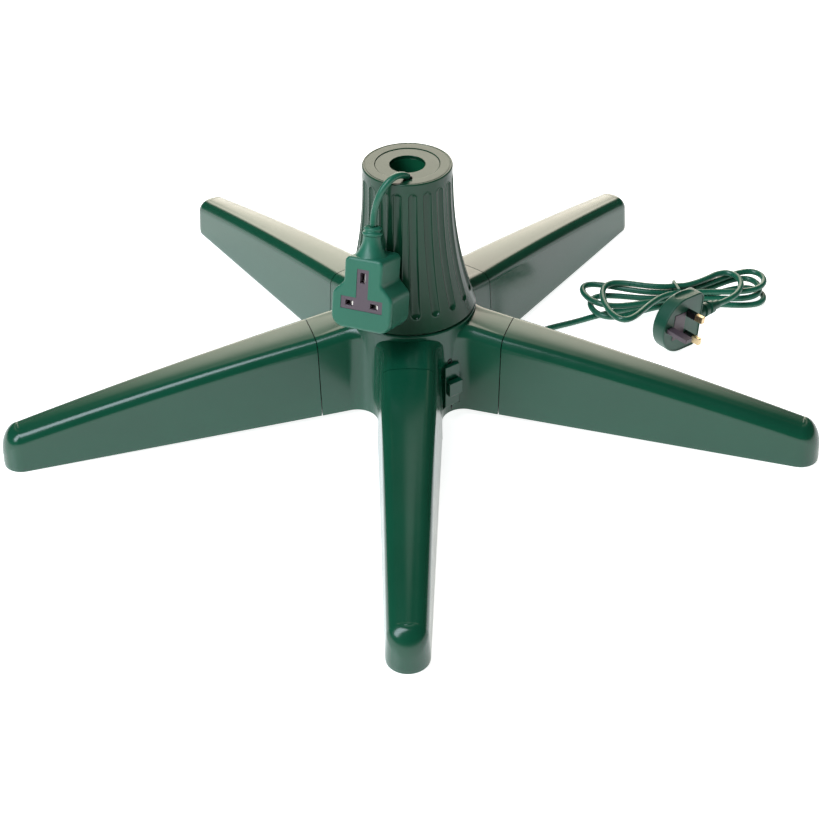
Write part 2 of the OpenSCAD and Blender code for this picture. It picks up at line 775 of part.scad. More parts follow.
module disc_grommet() {
    color(black) translate([exit_at.x, exit_at.y, 0]) difference() {
        translate([0, 0, flange_z - 2])
            cylinder(r = grommet_r - 0.1, h = disc_top_z - flange_z + 4.8, $fn = 40);
        translate([0, 0, socket_route[0].z]) rotate([0, acos(exit_dir.z), atan2(exit_dir.y, exit_dir.x)])
            translate([-10, -10, 0]) cube([20, 20, 10]);
    }
}

// Trailing socket, in a frame with X across its face, Y up it and Z out of it

socket_at = [-38, -78, 135.6];
socket_yaw = -25;
socket_tilt = 16.5;
socket_roll = 3;
slot_x = 11.115;
slot_y = 22.23;
power_slot = [6.8, 4.5];
earth_slot = [4.5, 8.6];
bar_w = 10.6;
tee_w = 37.4;
tee_top = 29.6;
core_front = 0.4;
relief_z = -14;
relief_l = 26.8;
face_round = 1.5;
core_d = 27;
shutter_w = 31;
shutter_h = 6.4;
shutter_t = 2.4;
shutter_z = -5.4;
contact_wall = 0.8;

module socket_frame() {
    translate(socket_at) rotate([0, 0, socket_yaw]) rotate([90 - socket_tilt, 0, 0])
        rotate([0, 0, socket_roll]) children();
}

// Ring of the socket at depth z, drawn in by i: a narrow neck over a wide body with round lower corners
shoulder_low = 7.7;
shoulder_high = 17.2;
low_corner = 11;
neck_corner = 4;
bevel_slope = 0.43;
function socket_half(i) = concat(
    arc([socket_w / 2 - low_corner, low_corner - socket_bottom], low_corner - i, -90, 0, 6),
    [[socket_w / 2 - i, shoulder_low - bevel_slope * i],
     [socket_neck_w / 2 - i, shoulder_high - bevel_slope * i]],
    arc([socket_neck_w / 2 - neck_corner, socket_top - neck_corner], neck_corner - i, 0, 90, 3)
);
function socket_ring(z, i) = let (h = socket_half(i)) [for (p = concat(h, mirror_y(h))) [p.x, p.y, z]];

module tee(g) {
    translate([-tee_w / 2 - g, -bar_w / 2 - g]) square([tee_w + 2 * g, bar_w + 2 * g]);
    translate([-bar_w / 2 - g, -bar_w / 2]) square([bar_w + 2 * g, tee_top + bar_w / 2 + g]);
}

module core_block(g) {
    translate([-20 - g, -14 - g, -core_d - g]) cube([40 + 2 * g, 24 + 2 * g, core_d - 3 + 2 * g]);
    translate([-9 - g, 8, -core_d - g]) cube([18 + 2 * g, 24 + g, core_d - 3 + 2 * g]);
}

module socket_body() {
    color(cord_green) socket_frame() difference() {
        union() {
            skin([socket_ring(-socket_d, face_round), socket_ring(face_round - socket_d, 0),
                  socket_ring(-face_round, 0), socket_ring(-face_round * 0.3, face_round * 0.3),
                  socket_ring(0, face_round)]);
            // Tapering cord relief with two collars
            translate([0, socket_top - 3, relief_z]) rotate([-90, 0, 0]) rotate_extrude($fn = 40) polygon([
                [0, 0], [12.6, 0], [11, 6], [7.2, relief_l - 7], [7.9, relief_l - 6], [7.9, relief_l - 4.4],
                [6.4, relief_l - 3.8], [6.4, relief_l - 2.4], [6.9, relief_l - 1.8], [6.6, relief_l],
                [0, relief_l]
            ]);
        }
        core_block(0.05);
        translate([0, 0, -4]) linear_extrude(height = 6) tee(0.05);
    }
}

module socket_core() {
    color(grey_core) socket_frame() difference() {
        union() {
            core_block(0);
            translate([0, 0, -4]) linear_extrude(height = 4 - core_front) tee(0);
        }
        for (s = [-1, 1]) translate([s * slot_x - power_slot.x / 2, -power_slot.y / 2, -core_d + 3])
            cube([power_slot.x, power_slot.y, core_d]);
        translate([-earth_slot.x / 2, slot_y - earth_slot.y / 2, -core_d + 3])
            cube([earth_slot.x, earth_slot.y, core_d]);
        // Chamber of the safety shutter
        translate([-shutter_w / 2 - 0.4, -shutter_h / 2 - shutter_travel - 0.4, shutter_z - shutter_t - 0.3])
            cube([shutter_w + 0.8, shutter_h + shutter_travel + 0.8, shutter_t + 0.6]);
    }
}

module contact(w, h) {
    translate([0, 0, -core_d + 3]) linear_extrude(height = core_d - 13) difference() {
        square([w, h], center = true);
        square([w - 2 * contact_wall, h - 2 * contact_wall], center = true);
    }
}

module socket_contacts() {
    color(brass) socket_frame() {
        for (s = [-1, 1]) translate([s * slot_x, 0, 0]) contact(power_slot.x - 0.1, power_slot.y - 0.1);
        translate([0, slot_y, 0]) contact(earth_slot.x - 0.1, earth_slot.y - 0.1);
    }
}

module socket_shutter() {
    color(grey_core) socket_frame() translate([-shutter_w / 2, -shutter_h / 2, shutter_z - shutter_t])
        cube([shutter_w, shutter_h, shutter_t]);
}

// Route of the socket's lead: out of the top disc, over the rim and down to the socket
socket_route = [
    [0.5, -24.8, 223.4], [-2.3, -27.4, 226.1], [-5.1, -30.1, 227.8], [-8.1, -33.0, 228.6],
    [-11.1, -35.8, 228.3], [-13.9, -38.2, 227.0], [-16.6, -40.2, 224.7], [-19.0, -41.6, 221.8],
    [-21.1, -42.5, 218.3], [-22.9, -43.2, 214.4], [-24.4, -43.8, 210.2], [-25.6, -44.4, 205.8],
    [-26.6, -45.3, 201.4], [-27.2, -46.6, 197.2], [-27.7, -48.4, 191.6]
];

module socket_lead() {
    color(cord_green) tube(socket_route, cord_d / 2, 8);
}

// Mains lead: from the gland along the floor to the hank's waist
lead_route = [
    [76.1, 24.7, 18], [81.6, 26.5, 17.8], [90, 30.5, 15], [97.5, 37, 10], [103.5, 45.5, 5.6], [108, 55, 3.4],
    [112, 66.5, 3], [118, 77, 3], [127, 84.5, 3], [138, 89.5, 3], [150, 94.5, 3], [161, 99.5, 3],
    [171, 104.3, 3], [182, 109, 3.1], [195, 113.6, 3.5], [209, 117.2, 4], [223, 120.1, 4.3],
    [236.55, 123.23, 4.3], [249.17, 125.91, 4.3]
];

module mains_lead() {
    color(cord_green) tube(lead_route, cord_d / 2, 8);
}

// Hank: three long loops on each other, drawn in at the waist where the tie holds them
hank_at = [250, 122];
hank_az = 12;
hank_loops = 3;
hank_base = 4.3;
hank_step = 6.3;
hank_waist = 4;
loop_rings = 24;
// Length, fullness and sideways lie of the loop ends, left ends then right ends
left_len = [81, 84, 73];
left_full = [42, 42, 74];
left_lie = [4, 21, -15];
right_len = [88, 86, 91];
right_full = [34, 38, 36];
right_lie = [-1, 7, 10];

// Centre of the hank's cord at angle t, which runs from 90 at the waist
function hank_point(t) =
    let (turn = floor((t - 90) / 360), inner = t - 360 * turn,
         left = inner > 270, k = min(turn, hank_loops - 1),
         len = left ? left_len[k] : right_len[k],
         full = left ? left_full[k] : right_full[k],
         lie = left ? left_lie[k] : right_lie[k],
         x = -len * cos(t), y = sin(t) * (hank_waist + full * pow(cos(t), 2)) + lie * pow(cos(t), 2),
         z = hank_base + hank_step * (turn + smooth((inner - 200) / 140)))
    [hank_at.x + x * cos(hank_az) - y * sin(hank_az), hank_at.y + x * sin(hank_az) + y * cos(hank_az), z];

function hank_points(rings) =
    [for (i = [0:hank_loops * rings]) hank_point(90 + 360 * i / rings)];

// Least distance between passes of the hank, less the cord's diameter
function hank_gap(p, skip) =
    min([for (i = [0:len(p) - 1 - skip], j = [i + skip:len(p) - 1]) norm(p[i] - p[j])]) - cord_d;

module lead_hank() {
    echo(least_gap_in_hank = hank_gap(hank_points(96), 20));
    color(cord_green) tube(hank_points(loop_rings), cord_d / 2, 6);
}

// Tail: from the hank's waist round to the plug's strain relief
tail_route = [
    [249.17, 125.91, 23.2], [259.7, 127, 23.2], [271, 132, 23.3], [282.2, 139.2, 23.4], [292, 146, 23.6],
    [301, 147.6, 23.9], [308, 143.2, 24.2], [311.6, 134.8, 24.4], [311.6, 125, 24.5], [308.6, 115.8, 24.4],
    [303.8, 108, 24.2], [297.8, 102.2, 23.8], [291.4, 97.8, 23.5], [284.4, 92, 24.3]
];

module lead_tail() {
    color(cord_green) tube(tail_route, cord_d / 2, 8);
}

tie_w = 2.4;
tie_t = 0.9;
tie_half = hank_waist + cord_d / 2 + 0.4;
tie_low = 1;
tie_high = hank_base + hank_step * hank_loops + cord_d / 2 + 0.4;

module hank_tie() {
    color(cord_green) translate([hank_at.x, hank_at.y, 0]) rotate([0, 0, hank_az]) difference() {
        translate([-tie_w / 2, -tie_half - tie_t, tie_low - tie_t])
            cube([tie_w, 2 * (tie_half + tie_t), tie_high - tie_low + 2 * tie_t]);
        translate([-tie_w, -tie_half, tie_low]) cube([2 * tie_w, 2 * tie_half, tie_high - tie_low]);
    }
}

// Mains plug, in a frame with X along its two power pins, Y to the earth pin and Z out of its face

plug_at = [251.3, 53.8, 28.4];
plug_yaw = -50;
plug_turn = -4.7;
plug_round_y = 3.5;
power_pin = [6.35, 4, 17.7];
earth_pin = [4, 8, 22.7];
sleeve_l = 9;
plug_relief_z = -8;
plug_relief_l = 32.5;
plug_face_dip = 0.6;
fuse_cover = [26, 14.4];
fuse_cover_y = 3;
pin_root = 5.9;

module plug_frame() {
    translate(plug_at) rotate([0, 0, plug_yaw]) rotate([0, 90, 0]) rotate([0, 0, 180 + plug_turn]) children();
}

function plug_half(i) = concat(
    arc([plug_w / 2 - 8, 8 - plug_cord_side], 8 - i, -90, 0, 4),
    arc([0, plug_round_y], plug_w / 2 - i, 0, 90, 12)
);

module plug_outline(i) {
    h = plug_half(i);
    polygon(concat(h, mirror_y(h)));
}

module plug_body() {
    color(cord_green) plug_frame() difference() {
        union() {
            translate([0, 0, -plug_d + 3]) linear_extrude(height = plug_d - 3) plug_outline(0);
            translate([0, 0, -plug_d + 1]) linear_extrude(height = 2) plug_outline(1.2);
            translate([0, 0, -plug_d]) linear_extrude(height = 1) plug_outline(3);
            // Ribbed, tapering strain relief
            translate([0, -plug_cord_side + 2, plug_relief_z]) rotate([90, 0, 0]) rotate_extrude($fn = 36)
                polygon([
                    [0, 0], [7.2, 0], [7, 9], [5.4, 9.6], [5.4, 11.6], [6.8, 12.2], [6.5, 17], [5, 17.6],
                    [5, 19.6], [6.2, 20.2], [5.8, 25], [4.2, plug_relief_l], [0, plug_relief_l]
                ]);
        }
        translate([0, 0, -plug_face_dip]) linear_extrude(height = 2) plug_outline(1.4);
        // Sockets of the pins and of the fuse cover
        for (s = [-1, 1]) translate([s * slot_x - power_pin.x / 2 - 0.05, -power_pin.y / 2 - 0.05, -6])
            cube([power_pin.x + 0.1, power_pin.y + 0.1, 8]);
        translate([-earth_pin.x / 2 - 0.05, slot_y - earth_pin.y / 2 - 0.05, -6])
            cube([earth_pin.x + 0.1, earth_pin.y + 0.1, 8]);
        translate([-fuse_cover.x / 2 - 0.1, fuse_cover_y - 0.1, -5])
            cube([fuse_cover.x + 0.2, fuse_cover.y + 0.2, 8]);
    }
}

module plug_earth_pin() {
    color(grey_core) plug_frame() translate([-earth_pin.x / 2, slot_y - earth_pin.y / 2, -pin_root])
        cube([earth_pin.x, earth_pin.y, earth_pin.z + pin_root]);
}

module plug_power_pins() {
    color(brass) plug_frame() for (s = [-1, 1]) translate([s * slot_x, 0, 0]) {
        translate([-power_pin.x / 2, -power_pin.y / 2, sleeve_l])
            cube([power_pin.x, power_pin.y, power_pin.z - sleeve_l]);
        translate([-power_pin.x / 2 + 0.5, -power_pin.y / 2 + 0.5, -pin_root])
            cube([power_pin.x - 1, power_pin.y - 1, sleeve_l + pin_root + 0.1]);
    }
}

module plug_pin_sleeves() {
    color(black) plug_frame() for (s = [-1, 1]) translate([s * slot_x, 0, -pin_root])
        linear_extrude(height = sleeve_l + pin_root) difference() {
            square([power_pin.x, power_pin.y], center = true);
            square([power_pin.x - 1, power_pin.y - 1], center = true);
        }
}

module plug_fuse_cover() {
    color(grey_core) plug_frame() translate([-fuse_cover.x / 2, fuse_cover_y, -4.9])
        cube([fuse_cover.x, fuse_cover.y, 4.7]);
}

leg_front();
leg_right();
leg_back_right();
leg_back_left();
leg_left();
foot_pads();
leg_screws();
hub_housing();
bottom_cover();
cover_screws();
upper_bush();
lower_bush();
thrust_washer();
gear_motor();
motor_shaft();
drive_pinion();
brush_block();
brush_fingers();
terminal_block();
switch_surround();
switch_slider();
lead_gland();
turntable();
column_shell();
top_disc();
pole_tube();
column_screws();
drive_gear();
slip_drum();
slip_rings();
disc_grommet();
socket_body();
socket_core();
socket_contacts();
socket_shutter();
socket_lead();
mains_lead();
lead_hank();
lead_tail();
hank_tie();
plug_body();
plug_earth_pin();
plug_power_pins();
plug_pin_sleeves();
plug_fuse_cover();
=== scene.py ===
"""Looks of a rotating stand for an artificial Christmas tree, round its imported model."""
from math import atan2, cos, pi, radians, sin, sqrt

import bmesh
import bpy
import numpy as np
from mathutils import Matrix, Vector


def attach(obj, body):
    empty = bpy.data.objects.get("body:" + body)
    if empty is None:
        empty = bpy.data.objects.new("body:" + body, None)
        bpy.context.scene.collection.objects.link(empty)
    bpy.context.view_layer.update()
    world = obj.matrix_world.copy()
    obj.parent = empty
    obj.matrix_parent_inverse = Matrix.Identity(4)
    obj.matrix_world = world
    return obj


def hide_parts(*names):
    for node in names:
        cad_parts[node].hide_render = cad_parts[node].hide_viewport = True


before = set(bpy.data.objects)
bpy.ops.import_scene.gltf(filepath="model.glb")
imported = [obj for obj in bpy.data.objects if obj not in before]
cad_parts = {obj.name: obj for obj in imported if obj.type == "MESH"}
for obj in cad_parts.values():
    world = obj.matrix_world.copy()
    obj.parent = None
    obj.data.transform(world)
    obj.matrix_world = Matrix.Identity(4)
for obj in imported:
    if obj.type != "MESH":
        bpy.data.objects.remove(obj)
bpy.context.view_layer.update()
scene = bpy.context.scene
MM = 0.001


# ---------------------------------------------------------------- camera
# The camera that took the picture: a metre and a half away, looking down on the stand, with the
# long lens of a catalogue photo. Its angles are in radians.

IMAGE_PX = 819
FOCAL_PX = 1665.8
SENSOR_MM = 36
EYE = Vector((17.41, -1213.40, 866.96)) * MM
PAN, PITCH, ROLL = -0.0155, 0.6350, -0.0158

camera_data = bpy.data.cameras.new("camera")
camera_data.sensor_width = SENSOR_MM
camera_data.lens = FOCAL_PX / IMAGE_PX * SENSOR_MM
camera = bpy.data.objects.new("camera", camera_data)
scene.collection.objects.link(camera)
ahead = Vector((sin(PAN) * cos(PITCH), cos(PAN) * cos(PITCH), -sin(PITCH)))
level = Vector((cos(PAN), -sin(PAN), 0))
above = level.cross(ahead)
right = level * cos(ROLL) + above * sin(ROLL)
above = above * cos(ROLL) - level * sin(ROLL)
camera.matrix_world = Matrix.Translation(EYE) @ Matrix((right, above, -ahead)).transposed().to_4x4()
scene.camera = camera


# ---------------------------------------------------------------- mains lead
# Round three-core PVC lead, as extruded: from the hub's gland along the floor, into a tied hank
# of three long loops, and out again to the moulded plug.

CORD_R = 2.8 * MM
CORD_SIDES = 20
SPAN_STEPS = 6
LOOP_STEPS = 96
# Routes and the hank's sizes are in millimetres
LEAD_ROUTE = [
    (76.1, 24.7, 18), (81.6, 26.5, 17.8), (90, 30.5, 15), (97.5, 37, 10), (103.5, 45.5, 5.6),
    (108, 55, 3.4), (112, 66.5, 3), (118, 77, 3), (127, 84.5, 3), (138, 89.5, 3), (150, 94.5, 3),
    (161, 99.5, 3), (171, 104.3, 3), (182, 109, 3.1), (195, 113.6, 3.5), (209, 117.2, 4),
    (223, 120.1, 4.3), (236.55, 123.23, 4.3), (249.17, 125.91, 4.3),
]
TAIL_ROUTE = [
    (249.17, 125.91, 23.2), (259.7, 127, 23.2), (271, 132, 23.3), (282.2, 139.2, 23.4),
    (292, 146, 23.6), (301, 147.6, 23.9), (308, 143.2, 24.2), (311.6, 134.8, 24.4),
    (311.6, 125, 24.5), (308.6, 115.8, 24.4), (303.8, 108, 24.2), (297.8, 102.2, 23.8),
    (291.4, 97.8, 23.5), (284.4, 92, 24.3),
]
HANK_AT = (250, 122)
HANK_TURN = radians(12)
HANK_LOOPS = 3
HANK_LOW, HANK_STEP, HANK_WAIST = 4.3, 6.3, 4
# Degrees round a loop: where it starts at the waist, where the cord climbs, and for how long
LOOP_START, CLIMB_START, CLIMB_SPAN = 90, 200, 140
# Length, fullness and sideways lie of each loop's ends, the left ends and the right ends
HANK_LEFT = [(81, 42, 4), (84, 42, 21), (73, 74, -15)]
HANK_RIGHT = [(88, 34, -1), (86, 38, 7), (91, 36, 10)]


def smoothstep(f):
    f = min(1, max(0, f))
    return f * f * (3 - 2 * f)


def hank_point(t):
    """Centre of the hank's cord at t degrees, in mm; it starts and ends at the waist."""
    turn = (t - LOOP_START) // 360
    inner = t - 360 * turn
    loop = int(min(turn, HANK_LOOPS - 1))
    length, full, lie = (HANK_LEFT if inner > 270 else HANK_RIGHT)[loop]
    c, s = cos(radians(t)), sin(radians(t))
    x = -length * c
    y = s * (HANK_WAIST + full * c * c) + lie * c * c
    z = HANK_LOW + HANK_STEP * (turn + smoothstep((inner - CLIMB_START) / CLIMB_SPAN))
    return (HANK_AT[0] + x * cos(HANK_TURN) - y * sin(HANK_TURN),
            HANK_AT[1] + x * sin(HANK_TURN) + y * cos(HANK_TURN), z)


def through(points, steps):
    """A smooth line through points, with that many steps between each two."""
    p = [2 * Vector(points[0]) - Vector(points[1])] + [Vector(q) for q in points]
    p.append(2 * p[-1] - p[-2])
    line = []
    for a, b, c, d in zip(p, p[1:], p[2:], p[3:]):
        for k in range(steps):
            f = k / steps
            bend = (2 * a - 5 * b + 4 * c - d) + f * (3 * (b - c) + d - a)
            line.append(b + 0.5 * f * ((c - a) + f * bend))
    return line + [p[-2]]


def mesh_piece(name, verts, faces):
    """A new object with this mesh, smooth all over."""
    mesh = bpy.data.meshes.new(name)
    mesh.from_pydata([tuple(v) for v in verts], [], faces)
    mesh.polygons.foreach_set("use_smooth", [True] * len(mesh.polygons))
    piece = bpy.data.objects.new(name, mesh)
    scene.collection.objects.link(piece)
    return piece


def tube(name, line, radius, sides=CORD_SIDES):
    """A closed tube along a line in metres, with a UV map that runs along it and round it."""
    line = [Vector(p) for p in line]
    verts, side = [], Vector((0.1, 0.2, 1))  # any direction that no line starts along
    for i, p in enumerate(line):
        along = (line[min(i + 1, len(line) - 1)] - line[max(i - 1, 0)]).normalized()
        side = (side - along * side.dot(along)).normalized()
        across = along.cross(side)
        for k in range(sides):
            a = 2 * pi * k / sides
            verts.append(p + radius * (cos(a) * side + sin(a) * across))
    n = len(line)
    faces = [(i * sides + k, i * sides + (k + 1) % sides, (i + 1) * sides + (k + 1) % sides,
              (i + 1) * sides + k) for i in range(n - 1) for k in range(sides)]
    faces.append(tuple(reversed(range(sides))))
    faces.append(tuple((n - 1) * sides + k for k in range(sides)))
    piece = mesh_piece(name, verts, faces)
    uv = piece.data.uv_layers.new(name="along").data
    for face in piece.data.polygons:
        for loop in face.loop_indices:
            v = piece.data.loops[loop].vertex_index
            uv[loop].uv = (v // sides / n, v % sides / sides)
    return piece


def length_of(line):
    return sum((Vector(b) - Vector(a)).length for a, b in zip(line, line[1:]))


def in_metres(points):
    return [Vector(p) * MM for p in points]


def colour(hex_code):
    """An sRGB hex colour as linear red, green, blue and alpha."""
    parts = [int(hex_code[i:i + 2], 16) / 255 for i in (1, 3, 5)]
    return (*[c / 12.92 if c <= 0.04045 else ((c + 0.055) / 1.055) ** 2.4 for c in parts], 1)


def add(tree, kind, inputs=(), **settings):
    """A node of that kind, with its settings, and each input either linked or set."""
    node = tree.nodes.new(kind)
    for key, value in settings.items():
        setattr(node, key, value)
    for key, value in dict(inputs).items():
        if isinstance(value, bpy.types.NodeSocket):
            tree.links.new(value, node.inputs[key])
        else:
            node.inputs[key].default_value = value
    return node


DRIFT_SIZE, PATCH_SIZE = 60 * MM, 14 * MM


def polymer(name, light, dark, rough, grain_mm, grain_depth_mm, **shader):
    """A polymer: slow drift between two colours, gloss in patches and the tool's fine grain."""
    material = bpy.data.materials.new(name)
    material.use_nodes = True
    tree = material.node_tree
    bsdf = tree.nodes["Principled BSDF"]
    at = add(tree, "ShaderNodeTexCoord").outputs["Object"]
    drift = add(tree, "ShaderNodeTexNoise", {"Vector": at, "Scale": 1 / DRIFT_SIZE, "Detail": 3})
    tint = add(tree, "ShaderNodeMix", {0: drift.outputs["Fac"], 6: colour(light), 7: colour(dark)},
               data_type="RGBA")
    gloss = add(tree, "ShaderNodeTexNoise", {"Vector": at, "Scale": 1 / PATCH_SIZE, "Detail": 5})
    patch = add(tree, "ShaderNodeMapRange", {
        "Value": gloss.outputs["Fac"], "From Min": 0.3, "From Max": 0.7,
        "To Min": rough[0], "To Max": rough[1]})
    grain = add(tree, "ShaderNodeTexNoise", {"Vector": at, "Scale": 1 / (grain_mm * MM), "Detail": 2})
    bump = add(tree, "ShaderNodeBump", {"Height": grain.outputs["Fac"], "Strength": 1,
                                        "Distance": grain_depth_mm * MM})
    tree.links.new(tint.outputs[2], bsdf.inputs["Base Color"])
    tree.links.new(patch.outputs["Result"], bsdf.inputs["Roughness"])
    tree.links.new(bump.outputs["Normal"], bsdf.inputs["Normal"])
    for key, value in shader.items():
        bsdf.inputs[key.replace("_", " ")].default_value = value
    return material


# Plasticised PVC as extruded: satin, and a lighter green than the mouldings.
cord_pvc = polymer("extruded green PVC", "#1f6a51", "#1a5c46", (0.24, 0.34), 4, 0.01, IOR=1.52)

lead_line = through(LEAD_ROUTE, SPAN_STEPS)
lead_line += [Vector(hank_point(LOOP_START + 360 * k / LOOP_STEPS))
              for k in range(1, LOOP_STEPS * HANK_LOOPS)]
lead_line += through(TAIL_ROUTE, SPAN_STEPS)
lead_line = in_metres(lead_line)
lead = tube("mains_cord", lead_line, CORD_R)
lead.data.materials.append(cord_pvc)
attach(lead, "base")
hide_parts("mains_lead", "lead_hank", "lead_tail")


# ---------------------------------------------------------------- socket's lead
# The same lead, a hand's breadth of it: out of the top disc, over the rim and down into the
# trailing socket's moulded relief.

SOCKET_ROUTE = [
    (0.5, -24.8, 223.4), (-2.3, -27.4, 226.1), (-5.1, -30.1, 227.8), (-8.1, -33.0, 228.6),
    (-11.1, -35.8, 228.3), (-13.9, -38.2, 227.0), (-16.6, -40.2, 224.7), (-19.0, -41.6, 221.8),
    (-21.1, -42.5, 218.3), (-22.9, -43.2, 214.4), (-24.4, -43.8, 210.2), (-25.6, -44.4, 205.8),
    (-26.6, -45.3, 201.4), (-27.2, -46.6, 197.2), (-27.7, -48.4, 191.6),
]
hanging_line = in_metres(through(SOCKET_ROUTE, SPAN_STEPS))
hanging = tube("socket_cord", hanging_line, CORD_R)
hanging.data.materials.append(cord_pvc)
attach(hanging, "turning_head")
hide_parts("socket_lead")


# ---------------------------------------------------------------- legs
# Five hollow ABS legs from one injection mould: drafted sides, rounded shoulders, a domed foot
# end, and a parting step just above the rim. Each slides under the hub by a tongue with two screws.

LEG_REACH = 360 * MM
LEG_TIP_W = 34.4 * MM
LEG_ROOT_W = 55.4 * MM
LEG_TIP_H = 35.5 * MM
LEG_ROOT_H = 79.5 * MM
TIP_WALL_H = 11 * MM
TIP_ROUND = 14 * MM
UNDERSIDE_H = 6.4 * MM
FOOT_GAP = 0.8 * MM
SHOULDER_R = 10.5 * MM
LEG_WALL = 2.6 * MM
HUB_REACH = 89 * MM
SEAM = 0.8 * MM
SIDE_DRAFT = 0.062
TOP_BULGE = 2.2 * MM
TOP_CROWN = 0.6 * MM
RIM_STEP_H = 2.4 * MM
RIM_STEP_IN = 0.3 * MM
TONGUE_W, TONGUE_Z, TONGUE_T = 24 * MM, 12 * MM, 4 * MM
TONGUE_START = 66 * MM
PAD_SEAT_R, PAD_SEAT_Z, PAD_SEAT_T, PAD_SEAT_IN = 15.9 * MM, 6 * MM, 3 * MM, 3 * MM
LEG_RINGS, TIP_RINGS, WALL_POINTS, SHOULDER_POINTS = 24, 19, 6, 14
ARMS = 5
ARM_STEP = 2 * pi / ARMS
FIRST_ARM = -pi / 2

leg_start = HUB_REACH + SEAM / 2
tip_r = LEG_TIP_W / 2
tip_x = LEG_REACH - tip_r


def mix(a, b, f):
    return a + (b - a) * f


def leg_share(x):
    return (x - HUB_REACH) / (tip_x - HUB_REACH)


def leg_half(x):
    return mix(LEG_ROOT_W, LEG_TIP_W, max(0, leg_share(x))) / 2


def leg_top(x):
    f = leg_share(x)
    return mix(LEG_ROOT_H, LEG_TIP_H, f) + (4 * TOP_BULGE * f * (1 - f) if f > 0 else 0)


def leg_ring(x, end):
    """One section from rim over top to rim; end is how far it has turned round the foot's end."""
    low = mix(UNDERSIDE_H, FOOT_GAP, min(1, leg_share(x)))
    top, half = leg_top(x), leg_half(x)
    drop = mix(SHOULDER_R, LEG_TIP_H - TIP_WALL_H, sin(end) ** 2)

    def at(z, shoulder=0.0):
        inset = SIDE_DRAFT * (z - low)
        across = (half - inset - SHOULDER_R * (1 - cos(shoulder))) * cos(end)
        along = (tip_r - inset - TIP_ROUND * (1 - cos(shoulder))) * sin(end)
        return x + along, across, z

    wall_top = top - drop
    step = RIM_STEP_IN / half
    foot = [(x + (tip_r * sin(end)) * (1 - step), half * cos(end) * (1 - step), z)
            for z in (low, low + RIM_STEP_H)]
    wall = [at(z) for z in np.linspace(low + RIM_STEP_H + RIM_STEP_IN, wall_top, WALL_POINTS)[:-1]]
    shoulder = []
    for b in np.linspace(0, pi / 2, SHOULDER_POINTS):
        px, py, _ = at(wall_top, b)
        shoulder.append((px, py, wall_top + drop * sin(b)))
    edge_x, edge_y, edge_z = shoulder[-1]
    crown = [(edge_x, edge_y * k, edge_z + TOP_CROWN * (1 - k * k) * cos(end)) for k in (0.75, 0.5, 0.25)]
    middle = [(edge_x, 0, edge_z + TOP_CROWN * cos(end))]
    half_ring = foot + wall + shoulder + crown
    return half_ring + middle + [(px, -py, pz) for px, py, pz in reversed(half_ring)]


def leg_mesh():
    """The leg along +X, as an open shell that is given its wall afterwards."""
    rings = [leg_ring(x, 0) for x in np.linspace(leg_start, tip_x, LEG_RINGS)]
    rings += [leg_ring(tip_x, a) for a in np.radians(np.linspace(0, 90, TIP_RINGS)[1:])]
    n = len(rings[0])
    verts = [v for ring in rings for v in ring]
    faces = [(i * n + k, (i + 1) * n + k, (i + 1) * n + k + 1, i * n + k + 1)
             for i in range(len(rings) - 1) for k in range(n - 1)]
    faces.append(tuple(range(n)))
    return verts, faces


def finish_mesh(piece, merge=0.02 * MM):
    """Merges doubles and turns every face outwards."""
    bm = bmesh.new()
    bm.from_mesh(piece.data)
    bmesh.ops.remove_doubles(bm, verts=bm.verts, dist=merge)
    bmesh.ops.dissolve_degenerate(bm, edges=bm.edges, dist=merge / 2)
    bmesh.ops.recalc_face_normals(bm, faces=bm.faces)
    bm.to_mesh(piece.data)
    bm.free()


def apply_modifiers(piece):
    """Leaves the piece with the mesh that its modifiers make, and without them."""
    shaped = bpy.data.meshes.new_from_object(piece.evaluated_get(bpy.context.evaluated_depsgraph_get()))
    piece.modifiers.clear()
    piece.data = shaped


def crisp(piece, angle=32):
    """Smooth shading that keeps edges over this many degrees, with the flats kept flat."""
    piece.data.polygons.foreach_set("use_smooth", [True] * len(piece.data.polygons))
    piece.data.set_sharp_from_angle(angle=radians(angle))
    weighted = piece.modifiers.new("flat faces", "WEIGHTED_NORMAL")
    weighted.keep_sharp = True


def block(low, high):
    """A closed cuboid between two corners."""
    verts = [(x, y, z) for x in (low[0], high[0]) for y in (low[1], high[1]) for z in (low[2], high[2])]
    return verts, [(0, 1, 3, 2), (4, 6, 7, 5), (0, 4, 5, 1), (2, 3, 7, 6), (0, 2, 6, 4), (1, 5, 7, 3)]


def skin(rings, n):
    """The faces between closed rings of n points each."""
    return [(i * n + k, i * n + (k + 1) % n, (i + 1) * n + (k + 1) % n, (i + 1) * n + k)
            for i in range(rings - 1) for k in range(n)]


def capped(rings):
    """A closed shape through closed rings of points, with a flat face over its first and last."""
    n = len(rings[0])
    ends = [tuple(reversed(range(n))), tuple((len(rings) - 1) * n + k for k in range(n))]
    return [v for ring in rings for v in ring], skin(len(rings), n) + ends


def turned_shape(profile, sides=64):
    """A closed solid of revolution about +Z through (radius, height) points from pole to pole."""
    verts = [(r * cos(2 * pi * k / sides), r * sin(2 * pi * k / sides), z)
             for r, z in profile for k in range(sides)]
    return verts, skin(len(profile), sides)


def rod(radius, low, high, sides=64):
    return turned_shape([(0, low), (radius, low), (radius, high), (0, high)], sides)


def moved(shape, matrix):
    return [matrix @ Vector(v) for v in shape[0]], shape[1]


def put_together(*shapes):
    """Closed shapes as the vertices and faces of one mesh."""
    verts, faces = [], []
    for more, loops in shapes:
        faces += [tuple(v + len(verts) for v in loop) for loop in loops]
        verts += [tuple(v) for v in more]
    return verts, faces


